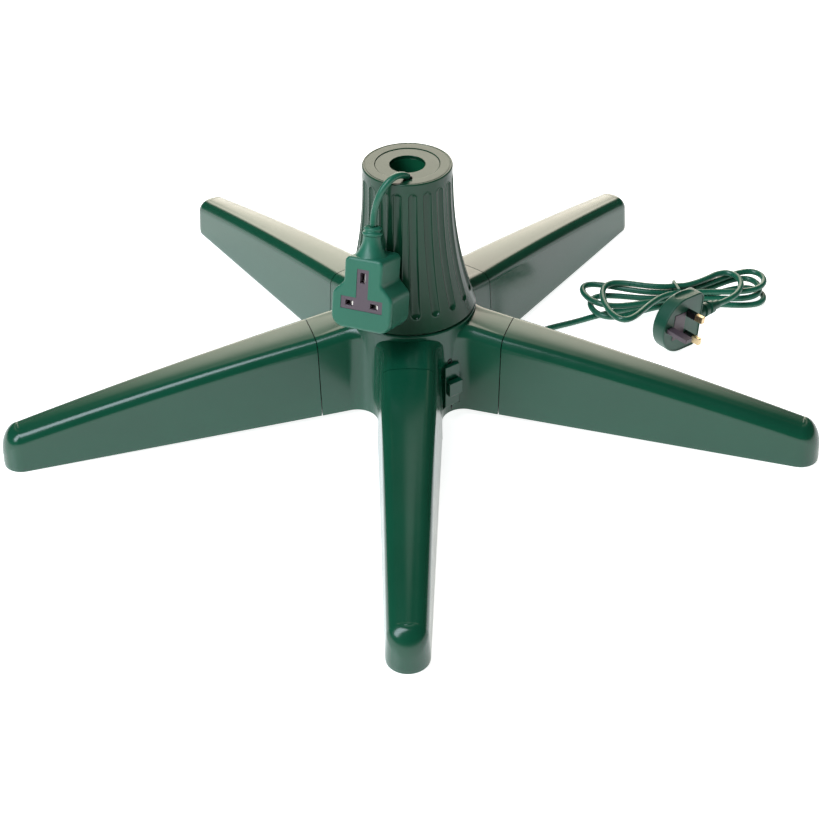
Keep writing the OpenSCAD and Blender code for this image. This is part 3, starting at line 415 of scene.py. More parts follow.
def turned_copies_tree():
    """Copies of a mesh turned about the upright axis, joined where they meet."""
    tree = bpy.data.node_groups.new("turned copies", "GeometryNodeTree")
    for name, kind in [("Geometry", "Geometry"), ("Count", "Int"), ("Step", "Float"), ("Start", "Float"),
                       ("Join Within", "Float"), ("Material", "Material")]:
        tree.interface.new_socket(name, in_out="INPUT", socket_type="NodeSocket" + kind)
    tree.interface.new_socket("Geometry", in_out="OUTPUT", socket_type="NodeSocketGeometry")
    given = add(tree, "NodeGroupInput").outputs
    place = add(tree, "GeometryNodePoints", {"Count": given["Count"]})
    index = add(tree, "GeometryNodeInputIndex").outputs[0]
    angle = add(tree, "ShaderNodeMath", {0: index, 1: given["Step"], 2: given["Start"]},
                operation="MULTIPLY_ADD")
    turn = add(tree, "FunctionNodeAxisAngleToRotation", {"Axis": (0, 0, 1), "Angle": angle.outputs[0]})
    copies = add(tree, "GeometryNodeInstanceOnPoints", {
        "Points": place.outputs[0], "Instance": given["Geometry"], "Rotation": turn.outputs[0]})
    real = add(tree, "GeometryNodeRealizeInstances", {"Geometry": copies.outputs[0]})
    joined = add(tree, "GeometryNodeMergeByDistance", {
        "Geometry": real.outputs[0], "Distance": given["Join Within"]})
    made = add(tree, "GeometryNodeSetMaterial", {
        "Geometry": joined.outputs[0], "Material": given["Material"]})
    add(tree, "NodeGroupOutput", {"Geometry": made.outputs[0]})
    return tree


TURNED_COPIES = turned_copies_tree()


def set_inputs(modifier, values):
    """Sets a node group's named inputs on the modifier that uses it."""
    for socket in modifier.node_group.interface.items_tree:
        if socket.in_out == "INPUT" and socket.name in values:
            modifier[socket.identifier] = values[socket.name]


def turn_copies(piece, **values):
    """Replaces the piece's mesh by copies of it turned about the upright axis."""
    modifier = piece.modifiers.new("copies", "NODES")
    modifier.node_group = TURNED_COPIES
    set_inputs(modifier, {name.replace("_", " "): value for name, value in values.items()})
    apply_modifiers(piece)


# Glossy ABS off a polished mould, with the faint orange peel of a large moulding.
moulded_abs = polymer("moulded green ABS", "#0d5039", "#0b4631", (0.19, 0.23), 6, 0.003, IOR=1.53)

legs = mesh_piece("legs", *leg_mesh())
finish_mesh(legs)
wall = legs.modifiers.new("wall", "SOLIDIFY")
wall.thickness = LEG_WALL
wall.offset = -1
apply_modifiers(legs)
fittings = mesh_piece("leg_fittings", *put_together(
    block((TONGUE_START, -TONGUE_W / 2, TONGUE_Z),
          (leg_start + LEG_WALL / 2, TONGUE_W / 2, TONGUE_Z + TONGUE_T)),
    moved(rod(PAD_SEAT_R, PAD_SEAT_Z, PAD_SEAT_Z + PAD_SEAT_T),
          Matrix.Translation((tip_x - PAD_SEAT_IN, 0, 0))),
))
finish_mesh(fittings)
bm = bmesh.new()
bm.from_mesh(legs.data)
bm.from_mesh(fittings.data)
bm.to_mesh(legs.data)
bm.free()
bpy.data.objects.remove(fittings)
turn_copies(legs, Material=moulded_abs, Count=ARMS, Step=ARM_STEP, Start=FIRST_ARM, Join_Within=0.0)
crisp(legs)
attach(legs, "base")
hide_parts("leg_front", "leg_right", "leg_back_right", "leg_back_left", "leg_left")


def clean_shading_tree():
    """Joins a node's loose triangles, smooth except over its sharp edges."""
    tree = bpy.data.node_groups.new("clean shading", "GeometryNodeTree")
    for name, kind in [("Geometry", "Geometry"), ("Sharp Over", "Float")]:
        tree.interface.new_socket(name, in_out="INPUT", socket_type="NodeSocket" + kind)
    tree.interface.new_socket("Geometry", in_out="OUTPUT", socket_type="NodeSocketGeometry")
    given = add(tree, "NodeGroupInput").outputs
    joined = add(tree, "GeometryNodeMergeByDistance", {
        "Geometry": given["Geometry"], "Distance": 0.002 * MM})
    smooth = add(tree, "GeometryNodeSetShadeSmooth", {"Geometry": joined.outputs[0], "Shade Smooth": True})
    bend = add(tree, "GeometryNodeInputMeshEdgeAngle").outputs[0]
    sharp = add(tree, "FunctionNodeCompare", {0: bend, 1: given["Sharp Over"]}, operation="GREATER_THAN")
    edged = add(tree, "GeometryNodeSetShadeSmooth", {
        "Geometry": smooth.outputs[0], "Selection": sharp.outputs[0], "Shade Smooth": False}, domain="EDGE")
    add(tree, "NodeGroupOutput", {"Geometry": edged.outputs[0]})
    return tree


CLEAN_SHADING = clean_shading_tree()


def dress(material, *names, bevel=0.0, sharp=30):
    """Gives nodes of the model their finish, joined triangles and slightly eased edges."""
    for name in names:
        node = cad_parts[name]
        modifier = node.modifiers.new("clean shading", "NODES")
        modifier.node_group = CLEAN_SHADING
        set_inputs(modifier, {"Sharp Over": radians(sharp)})
        if bevel:
            eased = node.modifiers.new("eased edges", "BEVEL")
            eased.width = bevel
            eased.segments = 2
            eased.limit_method = "ANGLE"
            eased.angle_limit = radians(sharp)
        weighted = node.modifiers.new("flat faces", "WEIGHTED_NORMAL")
        weighted.keep_sharp = True
        node.data.materials.clear()
        node.data.materials.append(material)


def metal(name, hex_code, rough):
    """A bare metal with fine tool marks."""
    material = bpy.data.materials.new(name)
    material.use_nodes = True
    tree = material.node_tree
    bsdf = tree.nodes["Principled BSDF"]
    bsdf.inputs["Base Color"].default_value = colour(hex_code)
    bsdf.inputs["Metallic"].default_value = 1
    at = add(tree, "ShaderNodeTexCoord").outputs["Object"]
    marks = add(tree, "ShaderNodeTexNoise", {"Vector": at, "Scale": 1 / (1.5 * MM), "Detail": 6})
    span = add(tree, "ShaderNodeMapRange", {"Value": marks.outputs["Fac"],
                                            "To Min": rough * 0.8, "To Max": rough * 1.2})
    tree.links.new(span.outputs["Result"], bsdf.inputs["Roughness"])
    return material


# Rubber pads under the foot ends, matt and nearly black, and the tongues' screws, whose zinc is
# a bright grey with soft glints.
pad_rubber = polymer("moulded black rubber", "#131313", "#0c0c0c", (0.6, 0.75), 1.5, 0.03, IOR=1.5)
zinc_steel = metal("zinc-plated steel", "#a9abad", 0.3)
dress(pad_rubber, "foot_pads")
dress(zinc_steel, "leg_screws")


# ---------------------------------------------------------------- hub
# The hub: one ABS moulding with five stub arms of the legs' own section, hollow bays between them
# and a round core that the column turns on. A flat cover screwed under it closes the core.

HUB_CORE_R = 57.4 * MM
HUB_TOP_Z = 90.4 * MM
HUB_WALL = 3 * MM
HUB_EDGE_R = 2 * MM
CROWN_ARM_R = 50 * MM
CROWN_BAY_R = 42 * MM
CROWN_BLEND = radians(14)
BAY_R = 18.4 * MM
TOP_PLATE_T = 4 * MM
HUB_BORE_R = 18.7 * MM
SWITCH_AZ = radians(-54)
SWITCH_SHIFT = 0.8 * MM
SWITCH_W, SWITCH_H, SWITCH_Z = 15 * MM, 41 * MM, 34.5 * MM
SWITCH_BACK = 57.2 * MM
SWITCH_GAP = 4.4 * MM
SEAT_GAP, SEAT_WALL, SEAT_BED = 0.1 * MM, 2 * MM, 0.3 * MM
GAP_BACK = 42 * MM
GLAND_AZ, GLAND_Z, GLAND_SEAT, GLAND_R = radians(18), 18 * MM, 58.23 * MM, 6.8 * MM
CORE_LOW_Z = UNDERSIDE_H + 4 * MM
CORE_SIDES = 160
PAST = MM  # how far a cut runs on past what it cuts
WELL_OUT = 80 * MM  # further out than the hub's wall
END_POINTS, BAY_POINTS, ROUND_LEVELS = 9, 33, 15

hub_end = HUB_REACH - SEAM / 2
bay_w = leg_half(hub_end)
bay_x = (bay_w + BAY_R) / sin(ARM_STEP / 2)
web_x = bay_x * cos(ARM_STEP / 2)


def arm_point(x, y, z, arm):
    a = FIRST_ARM + arm * ARM_STEP
    return x * cos(a) - y * sin(a), x * sin(a) + y * cos(a), z


def hub_sector(inset):
    """One arm's end and side and the hollow after it, drawn in."""
    half = bay_w - inset
    end = [(hub_end, half * k) for k in np.linspace(-1, 1, END_POINTS)]
    side = [(mix(hub_end, web_x, k), half) for k in (0.25, 0.5, 0.75)]
    hollow = [(web_x + (BAY_R + inset) * cos(a), bay_w + BAY_R + (BAY_R + inset) * sin(a))
              for a in np.linspace(-pi / 2, ARM_STEP - 3 * pi / 2, BAY_POINTS)]
    back = [(x * cos(ARM_STEP) + y * sin(ARM_STEP), x * sin(ARM_STEP) - y * cos(ARM_STEP))
            for x, y in reversed(side)]
    return end + side + hollow + back


def hub_star(wall, drop):
    """The hub's closed star, its walls drawn in by wall and its underside let down by drop."""
    round_r = SHOULDER_R - 0.6 * wall
    draft = SIDE_DRAFT * (LEG_ROOT_H - round_r - UNDERSIDE_H)
    rings = []
    for b in [None, *np.linspace(0, pi / 2, ROUND_LEVELS)]:  # the rim, then up the rounded shoulder
        inset = wall if b is None else wall + draft + round_r * (1 - cos(b))
        ring = []
        for arm in range(ARMS):
            for j, (x, y) in enumerate(hub_sector(inset)):
                if b is None:
                    z = UNDERSIDE_H - drop
                else:
                    along = max(x, x * cos(ARM_STEP) + y * sin(ARM_STEP))
                    z = leg_top(along) - wall - round_r * (1 - sin(b))
                    if j < END_POINTS:
                        z += TOP_CROWN * (1 - (y / (bay_w - inset)) ** 2) * sin(b) ** 8
                ring.append(arm_point(x - (wall if j < END_POINTS else 0), y, z, arm))
        rings.append(ring)
    crown_z = leg_top(CROWN_ARM_R) - wall
    crown = []
    for x, y, _ in rings[-1]:
        a = atan2(y, x)
        off_arm = abs((a - FIRST_ARM + ARM_STEP / 2) % ARM_STEP - ARM_STEP / 2)
        r = mix(CROWN_ARM_R, CROWN_BAY_R, smoothstep((off_arm - CROWN_BLEND) / CROWN_BLEND))
        crown.append((r * cos(a), r * sin(a), crown_z))
    return capped(rings + [crown])


def carve(piece, shape, operation="DIFFERENCE"):
    """Cuts a closed shape out of the piece, or adds it."""
    tool = mesh_piece("tool", *shape)
    finish_mesh(tool, 0.001 * MM)
    cut = piece.modifiers.new("cut", "BOOLEAN")
    cut.operation = operation
    cut.solver = "EXACT"
    cut.object = tool
    apply_modifiers(piece)
    bpy.data.objects.remove(tool)


def upright(azimuth, shift=0.0):
    """Place of something on the hub's wall: X outwards, Y along the wall, Z up."""
    return Matrix.Rotation(azimuth, 4, "Z") @ Matrix.Translation((0, shift, 0))


hub = mesh_piece("hub", *hub_star(0, 0))
finish_mesh(hub, 0.001 * MM)
edge = [(HUB_CORE_R - HUB_EDGE_R * (1 - cos(b)), HUB_TOP_Z - HUB_EDGE_R * (1 - sin(b)))
        for b in np.linspace(0, pi / 2, 7)]
core = turned_shape([(0, CORE_LOW_Z), (HUB_CORE_R, CORE_LOW_Z), *edge, (0, HUB_TOP_Z)], CORE_SIDES)
carve(hub, core, "UNION")
carve(hub, hub_star(HUB_WALL, 5 * MM))
carve(hub, rod(HUB_CORE_R - HUB_WALL, -PAST, HUB_TOP_Z - TOP_PLATE_T, CORE_SIDES))
carve(hub, rod(HUB_BORE_R, -PAST, HUB_TOP_Z + PAST))
switch_place = upright(SWITCH_AZ, SWITCH_SHIFT)
half_switch = SWITCH_W / 2
seat_low, seat_high = SWITCH_Z - SWITCH_H / 2 - SEAT_GAP, SWITCH_Z + SWITCH_H / 2 + SEAT_GAP
seat_box = block(
    (HUB_CORE_R - HUB_WALL - PAST, -half_switch - SWITCH_GAP - SEAT_WALL, seat_low - SEAT_WALL),
    (SWITCH_BACK - SEAT_BED, half_switch + SEAT_WALL, seat_high + SEAT_WALL))
seat = block((SWITCH_BACK, -half_switch - SEAT_GAP, seat_low),
             (WELL_OUT, half_switch + SEAT_GAP, seat_high))
gap = block((GAP_BACK, -half_switch - SWITCH_GAP, seat_low), (WELL_OUT, -half_switch, seat_high))
carve(hub, moved(seat_box, switch_place), "UNION")
carve(hub, moved(seat, switch_place))
carve(hub, moved(gap, switch_place))
lying = upright(GLAND_AZ) @ Matrix.Translation((0, 0, GLAND_Z)) @ Matrix.Rotation(pi / 2, 4, "Y")
carve(hub, moved(rod(GLAND_R, GLAND_SEAT, WELL_OUT), lying))
finish_mesh(hub, 0.001 * MM)
hub.data.materials.append(moulded_abs)
crisp(hub, 35)
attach(hub, "base")
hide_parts("hub_housing")

# Plain ring and bar marks of the switch, raised on the hub's wall above and below it.
# Their black nylon has a dull shine.
MARK_R, MARK_LINE, MARK_SIDES = 1.9 * MM, 0.5 * MM, 10
OFF_Z, ON_Z, ON_HALF, MARK_OUT = 57.6, 10.6, 2, 0.1 * MM
black_nylon = polymer("black glass-filled nylon", "#0b0c0c", "#060707", (0.2, 0.3), 4, 0.006, IOR=1.53)
ring_line = [Vector((HUB_CORE_R + MARK_OUT, MARK_R * sin(a), OFF_Z * MM + MARK_R * cos(a)))
             for a in np.linspace(0, 2 * pi, 33)]
bar_line = [Vector((bay_x - BAY_R - SIDE_DRAFT * 4 * MM, 0, z * MM))
            for z in (ON_Z - ON_HALF, ON_Z, ON_Z + ON_HALF)]
for name, line in [("off_mark", ring_line), ("on_mark", bar_line)]:
    mark = tube(name, [switch_place @ p for p in line], MARK_LINE, MARK_SIDES)
    mark.data.materials.append(black_nylon)
    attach(mark, "base")

dress(moulded_abs, "bottom_cover", bevel=0.3 * MM)
dress(zinc_steel, "cover_screws")


# ---------------------------------------------------------------- drive and slip rings
# Hidden in the hub: a synchronous gear motor, nylon gears and bushes, and the copper rings and
# brushes that carry power to the turning head. The nylon is left its own milky white.

natural_nylon = polymer("natural nylon", "#e0dccb", "#d5d0bd", (0.4, 0.5), 3, 0.01, IOR=1.53)
copper = metal("hard-drawn copper", "#b87f5a", 0.3)
dress(natural_nylon, "upper_bush", "lower_bush", "thrust_washer", "drive_pinion", "drive_gear",
      "terminal_block", "turntable")
dress(zinc_steel, "gear_motor", "motor_shaft", "column_screws")
dress(copper, "brush_fingers", "slip_rings")
dress(black_nylon, "brush_block", "slip_drum")


# ---------------------------------------------------------------- switch and gland
# A slide switch: its surround lies in a flat seat of the hub and its knob slides up and down in
# it. Below and behind the right arm the mains lead enters through a black rubber gland.

dress(moulded_abs, "switch_surround", bevel=0.5 * MM)
dress(moulded_abs, "switch_slider", bevel=0.6 * MM)
gland_rubber = polymer("moulded black PVC, gland", "#111413", "#0b0d0c", (0.4, 0.5), 3, 0.01, IOR=1.52)
dress(gland_rubber, "lead_gland", bevel=0.3 * MM)


# ---------------------------------------------------------------- column
# The turning column: one thin-walled ABS moulding that flares down to the hub, with nineteen
# round-ended flutes of even width whose edges stand up in a fine bead. A disc is let into its top.

COLUMN_TOP_Z = 222.4 * MM
COLUMN_LOW_Z = 91.9 * MM
COLUMN_TOP_R = 37.3 * MM
COLUMN_BASE_R = 57.2 * MM
COLUMN_WALL = 2.6 * MM
FLARE = 2.4
FLUTES = 19
FLUTE_TURN = radians(-83.3)
FLUTE_HALF = 3.65 * MM
FLUTE_DEPTH = 1.7 * MM
FLUTE_HIGH_Z = 213.7 * MM
FLUTE_LOW_Z = 104.6 * MM
BEAD_H = 0.22 * MM
RIM_ROUND = 1.1 * MM
DISC_SEAT_R = 26.8 * MM
DISC_SEAT_Z = 215.8 * MM
LEDGE_R = 24.4 * MM
LEDGE_Z = 213 * MM
EXIT_AT = (0.5 * MM, -24.8 * MM)
GROMMET_R = 3.7 * MM
# Across the groove in the top rim, in from the outside: its outer lip, its floor and its inner lip
GROOVE = (1.7 * MM, 1.9 * MM, 2.4 * MM, 2.6 * MM)
GROOVE_DEPTH = 0.35 * MM
flute_step = 2 * pi / FLUTES


def column_r(z):
    return mix(COLUMN_TOP_R, COLUMN_BASE_R,
               max(0, (COLUMN_TOP_Z - z) / (COLUMN_TOP_Z - COLUMN_LOW_Z)) ** FLARE)


def flute(u, z):
    """How far the surface stands out of the plain column, u half widths off a flute's middle."""
    v = max(0, (z - (FLUTE_HIGH_Z - FLUTE_HALF)) / FLUTE_HALF, (FLUTE_LOW_Z + FLUTE_HALF - z) / FLUTE_HALF)
    q = sqrt(u * u + v * v)
    hollow = FLUTE_DEPTH * sqrt(1 - q * q) if q < 1 else 0
    return BEAD_H * np.exp(-((q - 1.12) / 0.12) ** 2) - hollow


def column_sector():
    """One flute's share of the column, outside, over the top and down inside."""
    # Half widths off the flute's middle, closer together over its edges and their beads
    near = np.concatenate([
        np.linspace(-1.4, -0.7, 15), np.linspace(-0.6, 0.6, 11), np.linspace(0.7, 1.4, 15)])

    def angles(z):
        half = FLUTE_HALF / column_r(z)
        return [-flute_step / 2, *(near * half), flute_step / 2]

    levels = np.concatenate([
        [COLUMN_LOW_Z + 0.6 * MM], np.linspace(COLUMN_LOW_Z + 2 * MM, FLUTE_LOW_Z - 1.8 * MM, 5),
        np.linspace(FLUTE_LOW_Z - 1.5 * MM, FLUTE_LOW_Z + FLUTE_HALF, 20),
        np.linspace(FLUTE_LOW_Z + FLUTE_HALF, FLUTE_HIGH_Z - FLUTE_HALF, 26)[1:-1],
        np.linspace(FLUTE_HIGH_Z - FLUTE_HALF, FLUTE_HIGH_Z + 1.5 * MM, 20),
        np.linspace(FLUTE_HIGH_Z + 1.9 * MM, COLUMN_TOP_Z - RIM_ROUND, 5),
    ])
    top = angles(COLUMN_TOP_Z)
    rows = [[(column_r(COLUMN_LOW_Z) - 0.5 * MM, a, COLUMN_LOW_Z) for a in angles(COLUMN_LOW_Z)]]
    rows += [[(column_r(z) + flute(a * column_r(z) / FLUTE_HALF, z), a, z) for a in angles(z)]
             for z in levels]
    rows += [[(COLUMN_TOP_R - RIM_ROUND * (1 - cos(b)), a, COLUMN_TOP_Z - RIM_ROUND * (1 - sin(b)))
              for a in top] for b in np.radians([15, 30, 45, 60, 75, 90])]
    groove_z = (COLUMN_TOP_Z, COLUMN_TOP_Z - GROOVE_DEPTH, COLUMN_TOP_Z - GROOVE_DEPTH, COLUMN_TOP_Z)
    inner = [(COLUMN_TOP_R - far_in, z) for far_in, z in zip(GROOVE, groove_z)]
    inner += [(DISC_SEAT_R + 0.6 * MM, COLUMN_TOP_Z), (DISC_SEAT_R + 0.2 * MM, COLUMN_TOP_Z - 0.15 * MM),
              (DISC_SEAT_R, COLUMN_TOP_Z - 0.6 * MM), (DISC_SEAT_R, DISC_SEAT_Z),
              (LEDGE_R, DISC_SEAT_Z), (LEDGE_R, LEDGE_Z), (COLUMN_TOP_R - COLUMN_WALL, LEDGE_Z)]
    inner += [(column_r(z) - FLUTE_DEPTH - COLUMN_WALL + MM, z)
              for z in np.linspace(LEDGE_Z, COLUMN_LOW_Z, 12)[1:]]
    rows += [[(r, a, z) for a in top] for r, z in inner]
    n, m = len(rows), len(top)
    verts = [(r * cos(a), r * sin(a), z) for row in rows for r, a, z in row]
    faces = [(i * m + k, i * m + k + 1, (i + 1) % n * m + k + 1, (i + 1) % n * m + k)
             for i in range(n) for k in range(m - 1)]
    return verts, faces


# From a blasted mould: a greyer, darker green with less shine than the legs.
satin_abs = polymer("satin green ABS", "#10422c", "#0d3a27", (0.2, 0.26), 5, 0.005,
                    IOR=1.53, Specular_IOR_Level=0.36)
# The pole tube's green ABS is a little glossier than the mouldings. It is painted lighter to stand in for
# light falling into its bore.
bore_lightened_abs = polymer("green ABS, painted lighter for its lit bore", "#166041", "#125237", (0.16, 0.2), 5, 0.006, IOR=1.53)

column = mesh_piece("column", *column_sector())
turn_copies(column, Material=satin_abs, Count=FLUTES, Step=flute_step, Start=FLUTE_TURN,
            Join_Within=0.02 * MM)
finish_mesh(column, 0.005 * MM)
carve(column, moved(rod(GROMMET_R, LEDGE_Z - PAST, COLUMN_TOP_Z + PAST, 40),
                    Matrix.Translation((*EXIT_AT, 0))))
crisp(column, 40)
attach(column, "turning_head")
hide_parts("column_shell")

# The disc, the pole tube under it and the cord's grommet.
dress(satin_abs, "top_disc", bevel=0.5 * MM)
# The pole tube's lighter green is painted light in its bore.
dress(bore_lightened_abs, "pole_tube", bevel=0.4 * MM)
dress(black_nylon, "disc_grommet", bevel=0.2 * MM)


# ---------------------------------------------------------------- trailing socket
# Soft PVC moulded round a grey core: a narrow neck over a wide body, a flared relief with two
# collars over the cord, and a T-shaped part of the core that shows in the face.

SOCKET_AT = Vector((-38, -78, 135.6)) * MM
SOCKET_W, SOCKET_NECK_W, SOCKET_D = 54.2 * MM, 34 * MM, 36.8 * MM
SOCKET_TOP, SOCKET_BOTTOM = 38.7 * MM, -21.8 * MM
SHOULDER_LOW, SHOULDER_HIGH = 7.7 * MM, 17.2 * MM
SOCKET_EDGE, SOCKET_BACK_EDGE = 2.6 * MM, 3 * MM
SOCKET_YAW, SOCKET_TILT, SOCKET_ROLL = radians(-25), radians(90 - 16.5), radians(3)
RELIEF_Z, RELIEF_L = -14 * MM, 26.8 * MM
FLARE_R, THROAT_R, FLARE_L, FLARE_FOOT = 12.8 * MM, 7.2 * MM, 19.6 * MM, 3 * MM
# Each collar of the relief: its start, largest radius and height
COLLARS = [(FLARE_L, 8.3 * MM, 3.4 * MM), (FLARE_L + 4.4 * MM, 7.3 * MM, 2.4 * MM)]
COLLAR_ROOT_R, RELIEF_END_R = 6.3 * MM, 6 * MM
TEE_W, BAR_W, TEE_TOP = 37.4 * MM, 10.6 * MM, 29.6 * MM
CORE_BLOCKS = [(Vector((-20.1, -14.1, -27.1)) * MM, Vector((20.1, 10.1, -2.9)) * MM),
               (Vector((-9.1, 8, -27.1)) * MM, Vector((9.1, 32.1, -2.9)) * MM)]
SLOT_X, SLOT_Y = 11.115 * MM, 22.23 * MM
POWER_SLOT = (6.8 * MM, 4.5 * MM)
EARTH_SLOT = (4.5 * MM, 8.6 * MM)
socket_place = (Matrix.Translation(SOCKET_AT) @ Matrix.Rotation(SOCKET_YAW, 4, "Z")
                @ Matrix.Rotation(SOCKET_TILT, 4, "X") @ Matrix.Rotation(SOCKET_ROLL, 4, "Z"))


def rounded(corners, steps=10):
    """An outline through (x, y, radius) corners, each rounded to its radius."""
    line = []
    for before, here, after in zip(corners[-1:] + corners[:-1], corners, corners[1:] + corners[:1]):
        p = Vector(here[:2])
        to_last, to_next = (Vector(before[:2]) - p).normalized(), (Vector(after[:2]) - p).normalized()
        bend = to_last.angle(to_next)
        middle = p + (to_last + to_next).normalized() * (here[2] / sin(bend / 2))
        start = p + to_last * (here[2] / np.tan(bend / 2)) - middle
        sweep = start.angle_signed(p + to_next * (here[2] / np.tan(bend / 2)) - middle)
        for k in range(steps + 1):
            turn = Matrix.Rotation(-sweep * k / steps, 2)
            line.append(middle + turn @ start)
    return line


def drawn_in(line, inset):
    """The closed outline with each point moved in, square to the outline."""
    moved_line = []
    for before, here, after in zip(line[-1:] + line[:-1], line, line[1:] + line[:1]):
        along = (after - before).normalized()
        moved_line.append(here + Vector((-along.y, along.x)) * inset)
    return moved_line


def cushion(outline, low, high, round_low, round_high):
    """A closed slab over an outline that runs anticlockwise, with rounded edges below and above."""
    quarter = np.linspace(0, pi / 2, 7)
    levels = [(low + round_low * (1 - cos(b)), round_low * (1 - sin(b))) for b in quarter]
    levels += [(high - round_high * (1 - sin(b)), round_high * (1 - cos(b))) for b in quarter]
    return capped([[(p.x, p.y, z) for p in drawn_in(outline, inset)] for z, inset in levels])


def flat_prism(points, low, high):
    return capped([[(x, y, z) for x, y in points] for z in (low, high)])


# Soft PVC: a lighter, matter green than the hard mouldings.
socket_pvc = polymer("moulded green PVC, socket", "#226d55", "#1d614b", (0.38, 0.46), 4, 0.01, IOR=1.52)

half_w, half_neck = SOCKET_W / 2, SOCKET_NECK_W / 2
right_corners = [(half_w, SOCKET_BOTTOM, 11 * MM), (half_w, SHOULDER_LOW, 8 * MM),
                 (half_neck, SHOULDER_HIGH, 6 * MM), (half_neck, SOCKET_TOP, 5 * MM)]
socket_line = rounded(right_corners + [(-x, y, r) for x, y, r in reversed(right_corners)])
flare = [(0, 0), (FLARE_R, 0)]
flare += [(mix(THROAT_R, FLARE_R, (1 - k) ** 2.2), FLARE_FOOT + (FLARE_L - FLARE_FOOT) * k)
          for k in np.linspace(0, 1, 14)]
for collar_at, collar_r, collar_h in COLLARS:
    flare += [(mix(COLLAR_ROOT_R, collar_r, sin(pi * k) ** 0.5), collar_at + collar_h * k)
              for k in np.linspace(0.02, 0.98, 9)]
flare += [(RELIEF_END_R, RELIEF_L), (0, RELIEF_L)]
relief_place = Matrix.Translation((0, SOCKET_TOP - 3 * MM, RELIEF_Z)) @ Matrix.Rotation(-pi / 2, 4, "X")

socket = mesh_piece("socket", *cushion(socket_line, -SOCKET_D, 0, SOCKET_BACK_EDGE, SOCKET_EDGE))
finish_mesh(socket, 0.001 * MM)
carve(socket, moved(turned_shape(flare, 72), relief_place), "UNION")
half_bar, half_tee = BAR_W / 2, TEE_W / 2
tee = [(-half_tee, -half_bar), (half_tee, -half_bar), (half_tee, half_bar), (half_bar, half_bar),
       (half_bar, TEE_TOP), (-half_bar, TEE_TOP), (-half_bar, half_bar), (-half_tee, half_bar)]
carve(socket, flat_prism(tee, -4 * MM, 2 * MM))
for low, high in CORE_BLOCKS:
    carve(socket, block(low, high))
finish_mesh(socket, 0.001 * MM)
socket.data.transform(socket_place)
socket.data.materials.append(socket_pvc)
crisp(socket, 38)
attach(socket, "turning_head")
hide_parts("socket_body")

# A matt grey-brown core, a dark shutter behind its slots, pale brass contacts and the
# nickel-plated spring leaves that glint in the slots.
LEAF_IN, LEAF_DEEP, LEAF_T, LEAF_CURL = 0.9 * MM, 3.2 * MM, 0.25 * MM, 0.62
core_plastic = polymer("grey-brown phenolic core", "#594b53", "#4d4047", (0.4, 0.5), 4, 0.01, IOR=1.58)
dark_core = polymer("dark phenolic core", "#1a1517", "#131012", (0.4, 0.5), 4, 0.01, IOR=1.58)
brass = metal("pressed brass", "#d3bb93", 0.28)
nickel = metal("nickel-plated brass", "#f0ede6", 0.3)
dress(core_plastic, "socket_core", bevel=0.15 * MM)
dress(dark_core, "socket_shutter")
dress(brass, "socket_contacts")


def bent_leaf(place, w, h):
    """A thin spring leaf that leans in from a slot's right wall towards its middle."""
    line = [(w * LEAF_CURL * sin(pi / 2 * k), -LEAF_IN - LEAF_DEEP * k) for k in np.linspace(0, 1, 9)]
    verts = []
    for y in (-h / 2, h / 2):
        verts += [(w / 2 - x, y, z) for x, z in line] + [(w / 2 + LEAF_T - x, y, z) for x, z in line]
    n = len(line)
    faces = []
    for k in range(n - 1):
        faces += [(k, k + 1, 2 * n + k + 1, 2 * n + k), (n + k, 3 * n + k, 3 * n + k + 1, n + k + 1),
                  (k, n + k, n + k + 1, k + 1), (2 * n + k, 2 * n + k + 1, 3 * n + k + 1, 3 * n + k)]
    faces += [(0, 2 * n, 3 * n, n), (n - 1, 2 * n - 1, 4 * n - 1, 3 * n - 1)]
    return moved((verts, faces), Matrix.Translation(place))


leaves = mesh_piece("socket_leaves", *put_together(*[
    bent_leaf((x, y, 0), w - 0.8 * MM, h - 1.2 * MM)
    for x, y, w, h in [(-SLOT_X, 0, *POWER_SLOT), (SLOT_X, 0, *POWER_SLOT), (0, SLOT_Y, *EARTH_SLOT)]
]))
finish_mesh(leaves, 0.001 * MM)
leaves.data.transform(socket_place)
leaves.data.materials.append(nickel)
crisp(leaves)
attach(leaves, "turning_head")

# The hanging cord's length in metres, rounded to the millimetre; nothing uses it.
round(length_of(hanging_line), 3)


# ---------------------------------------------------------------- plug
# A moulded three-pin plug: a D-shaped PVC body with a finger hollow in each side, half-sleeved
# brass pins, a fuse cover let into the face and a ribbed relief over the cord.

# Hard PVC: a dark green with a dull shine.
plug_pvc = polymer("moulded green PVC, plug", "#185540", "#144a38", (0.32, 0.42), 4, 0.01, IOR=1.52)

PLUG_AT = Vector((251.3, 53.8, 28.4)) * MM
PLUG_R, PLUG_D, PLUG_CORD_SIDE, PLUG_CORNER_R = 27.5 * MM, 15 * MM, 19.5 * MM, 8 * MM
PLUG_ROUND_Y = 3.5 * MM
PLUG_YAW, PLUG_LEAN = radians(-50), radians(180 - 4.7)
PLUG_RELIEF_Z, PLUG_RELIEF_L = -8 * MM, 32.5 * MM
FACE_DIP, FACE_RIM = 0.6 * MM, 1.4 * MM
FUSE_RECESS = ((-13.1 * MM, 2.9 * MM, -5 * MM), (13.1 * MM, 17.5 * MM, PAST))
FINGER_AT, FINGER_RADII = (PLUG_R + 1.2 * MM, 2 * MM), (3.6 * MM, 14 * MM, 5.6 * MM)
# Each rib of the relief: its height along the cord and its radius
RIBS = [(12.4 * MM, 6.9 * MM), (20.4 * MM, 6.3 * MM)]
plug_place = (Matrix.Translation(PLUG_AT) @ Matrix.Rotation(PLUG_YAW, 4, "Z")
              @ Matrix.Rotation(pi / 2, 4, "Y") @ Matrix.Rotation(PLUG_LEAN, 4, "Z"))

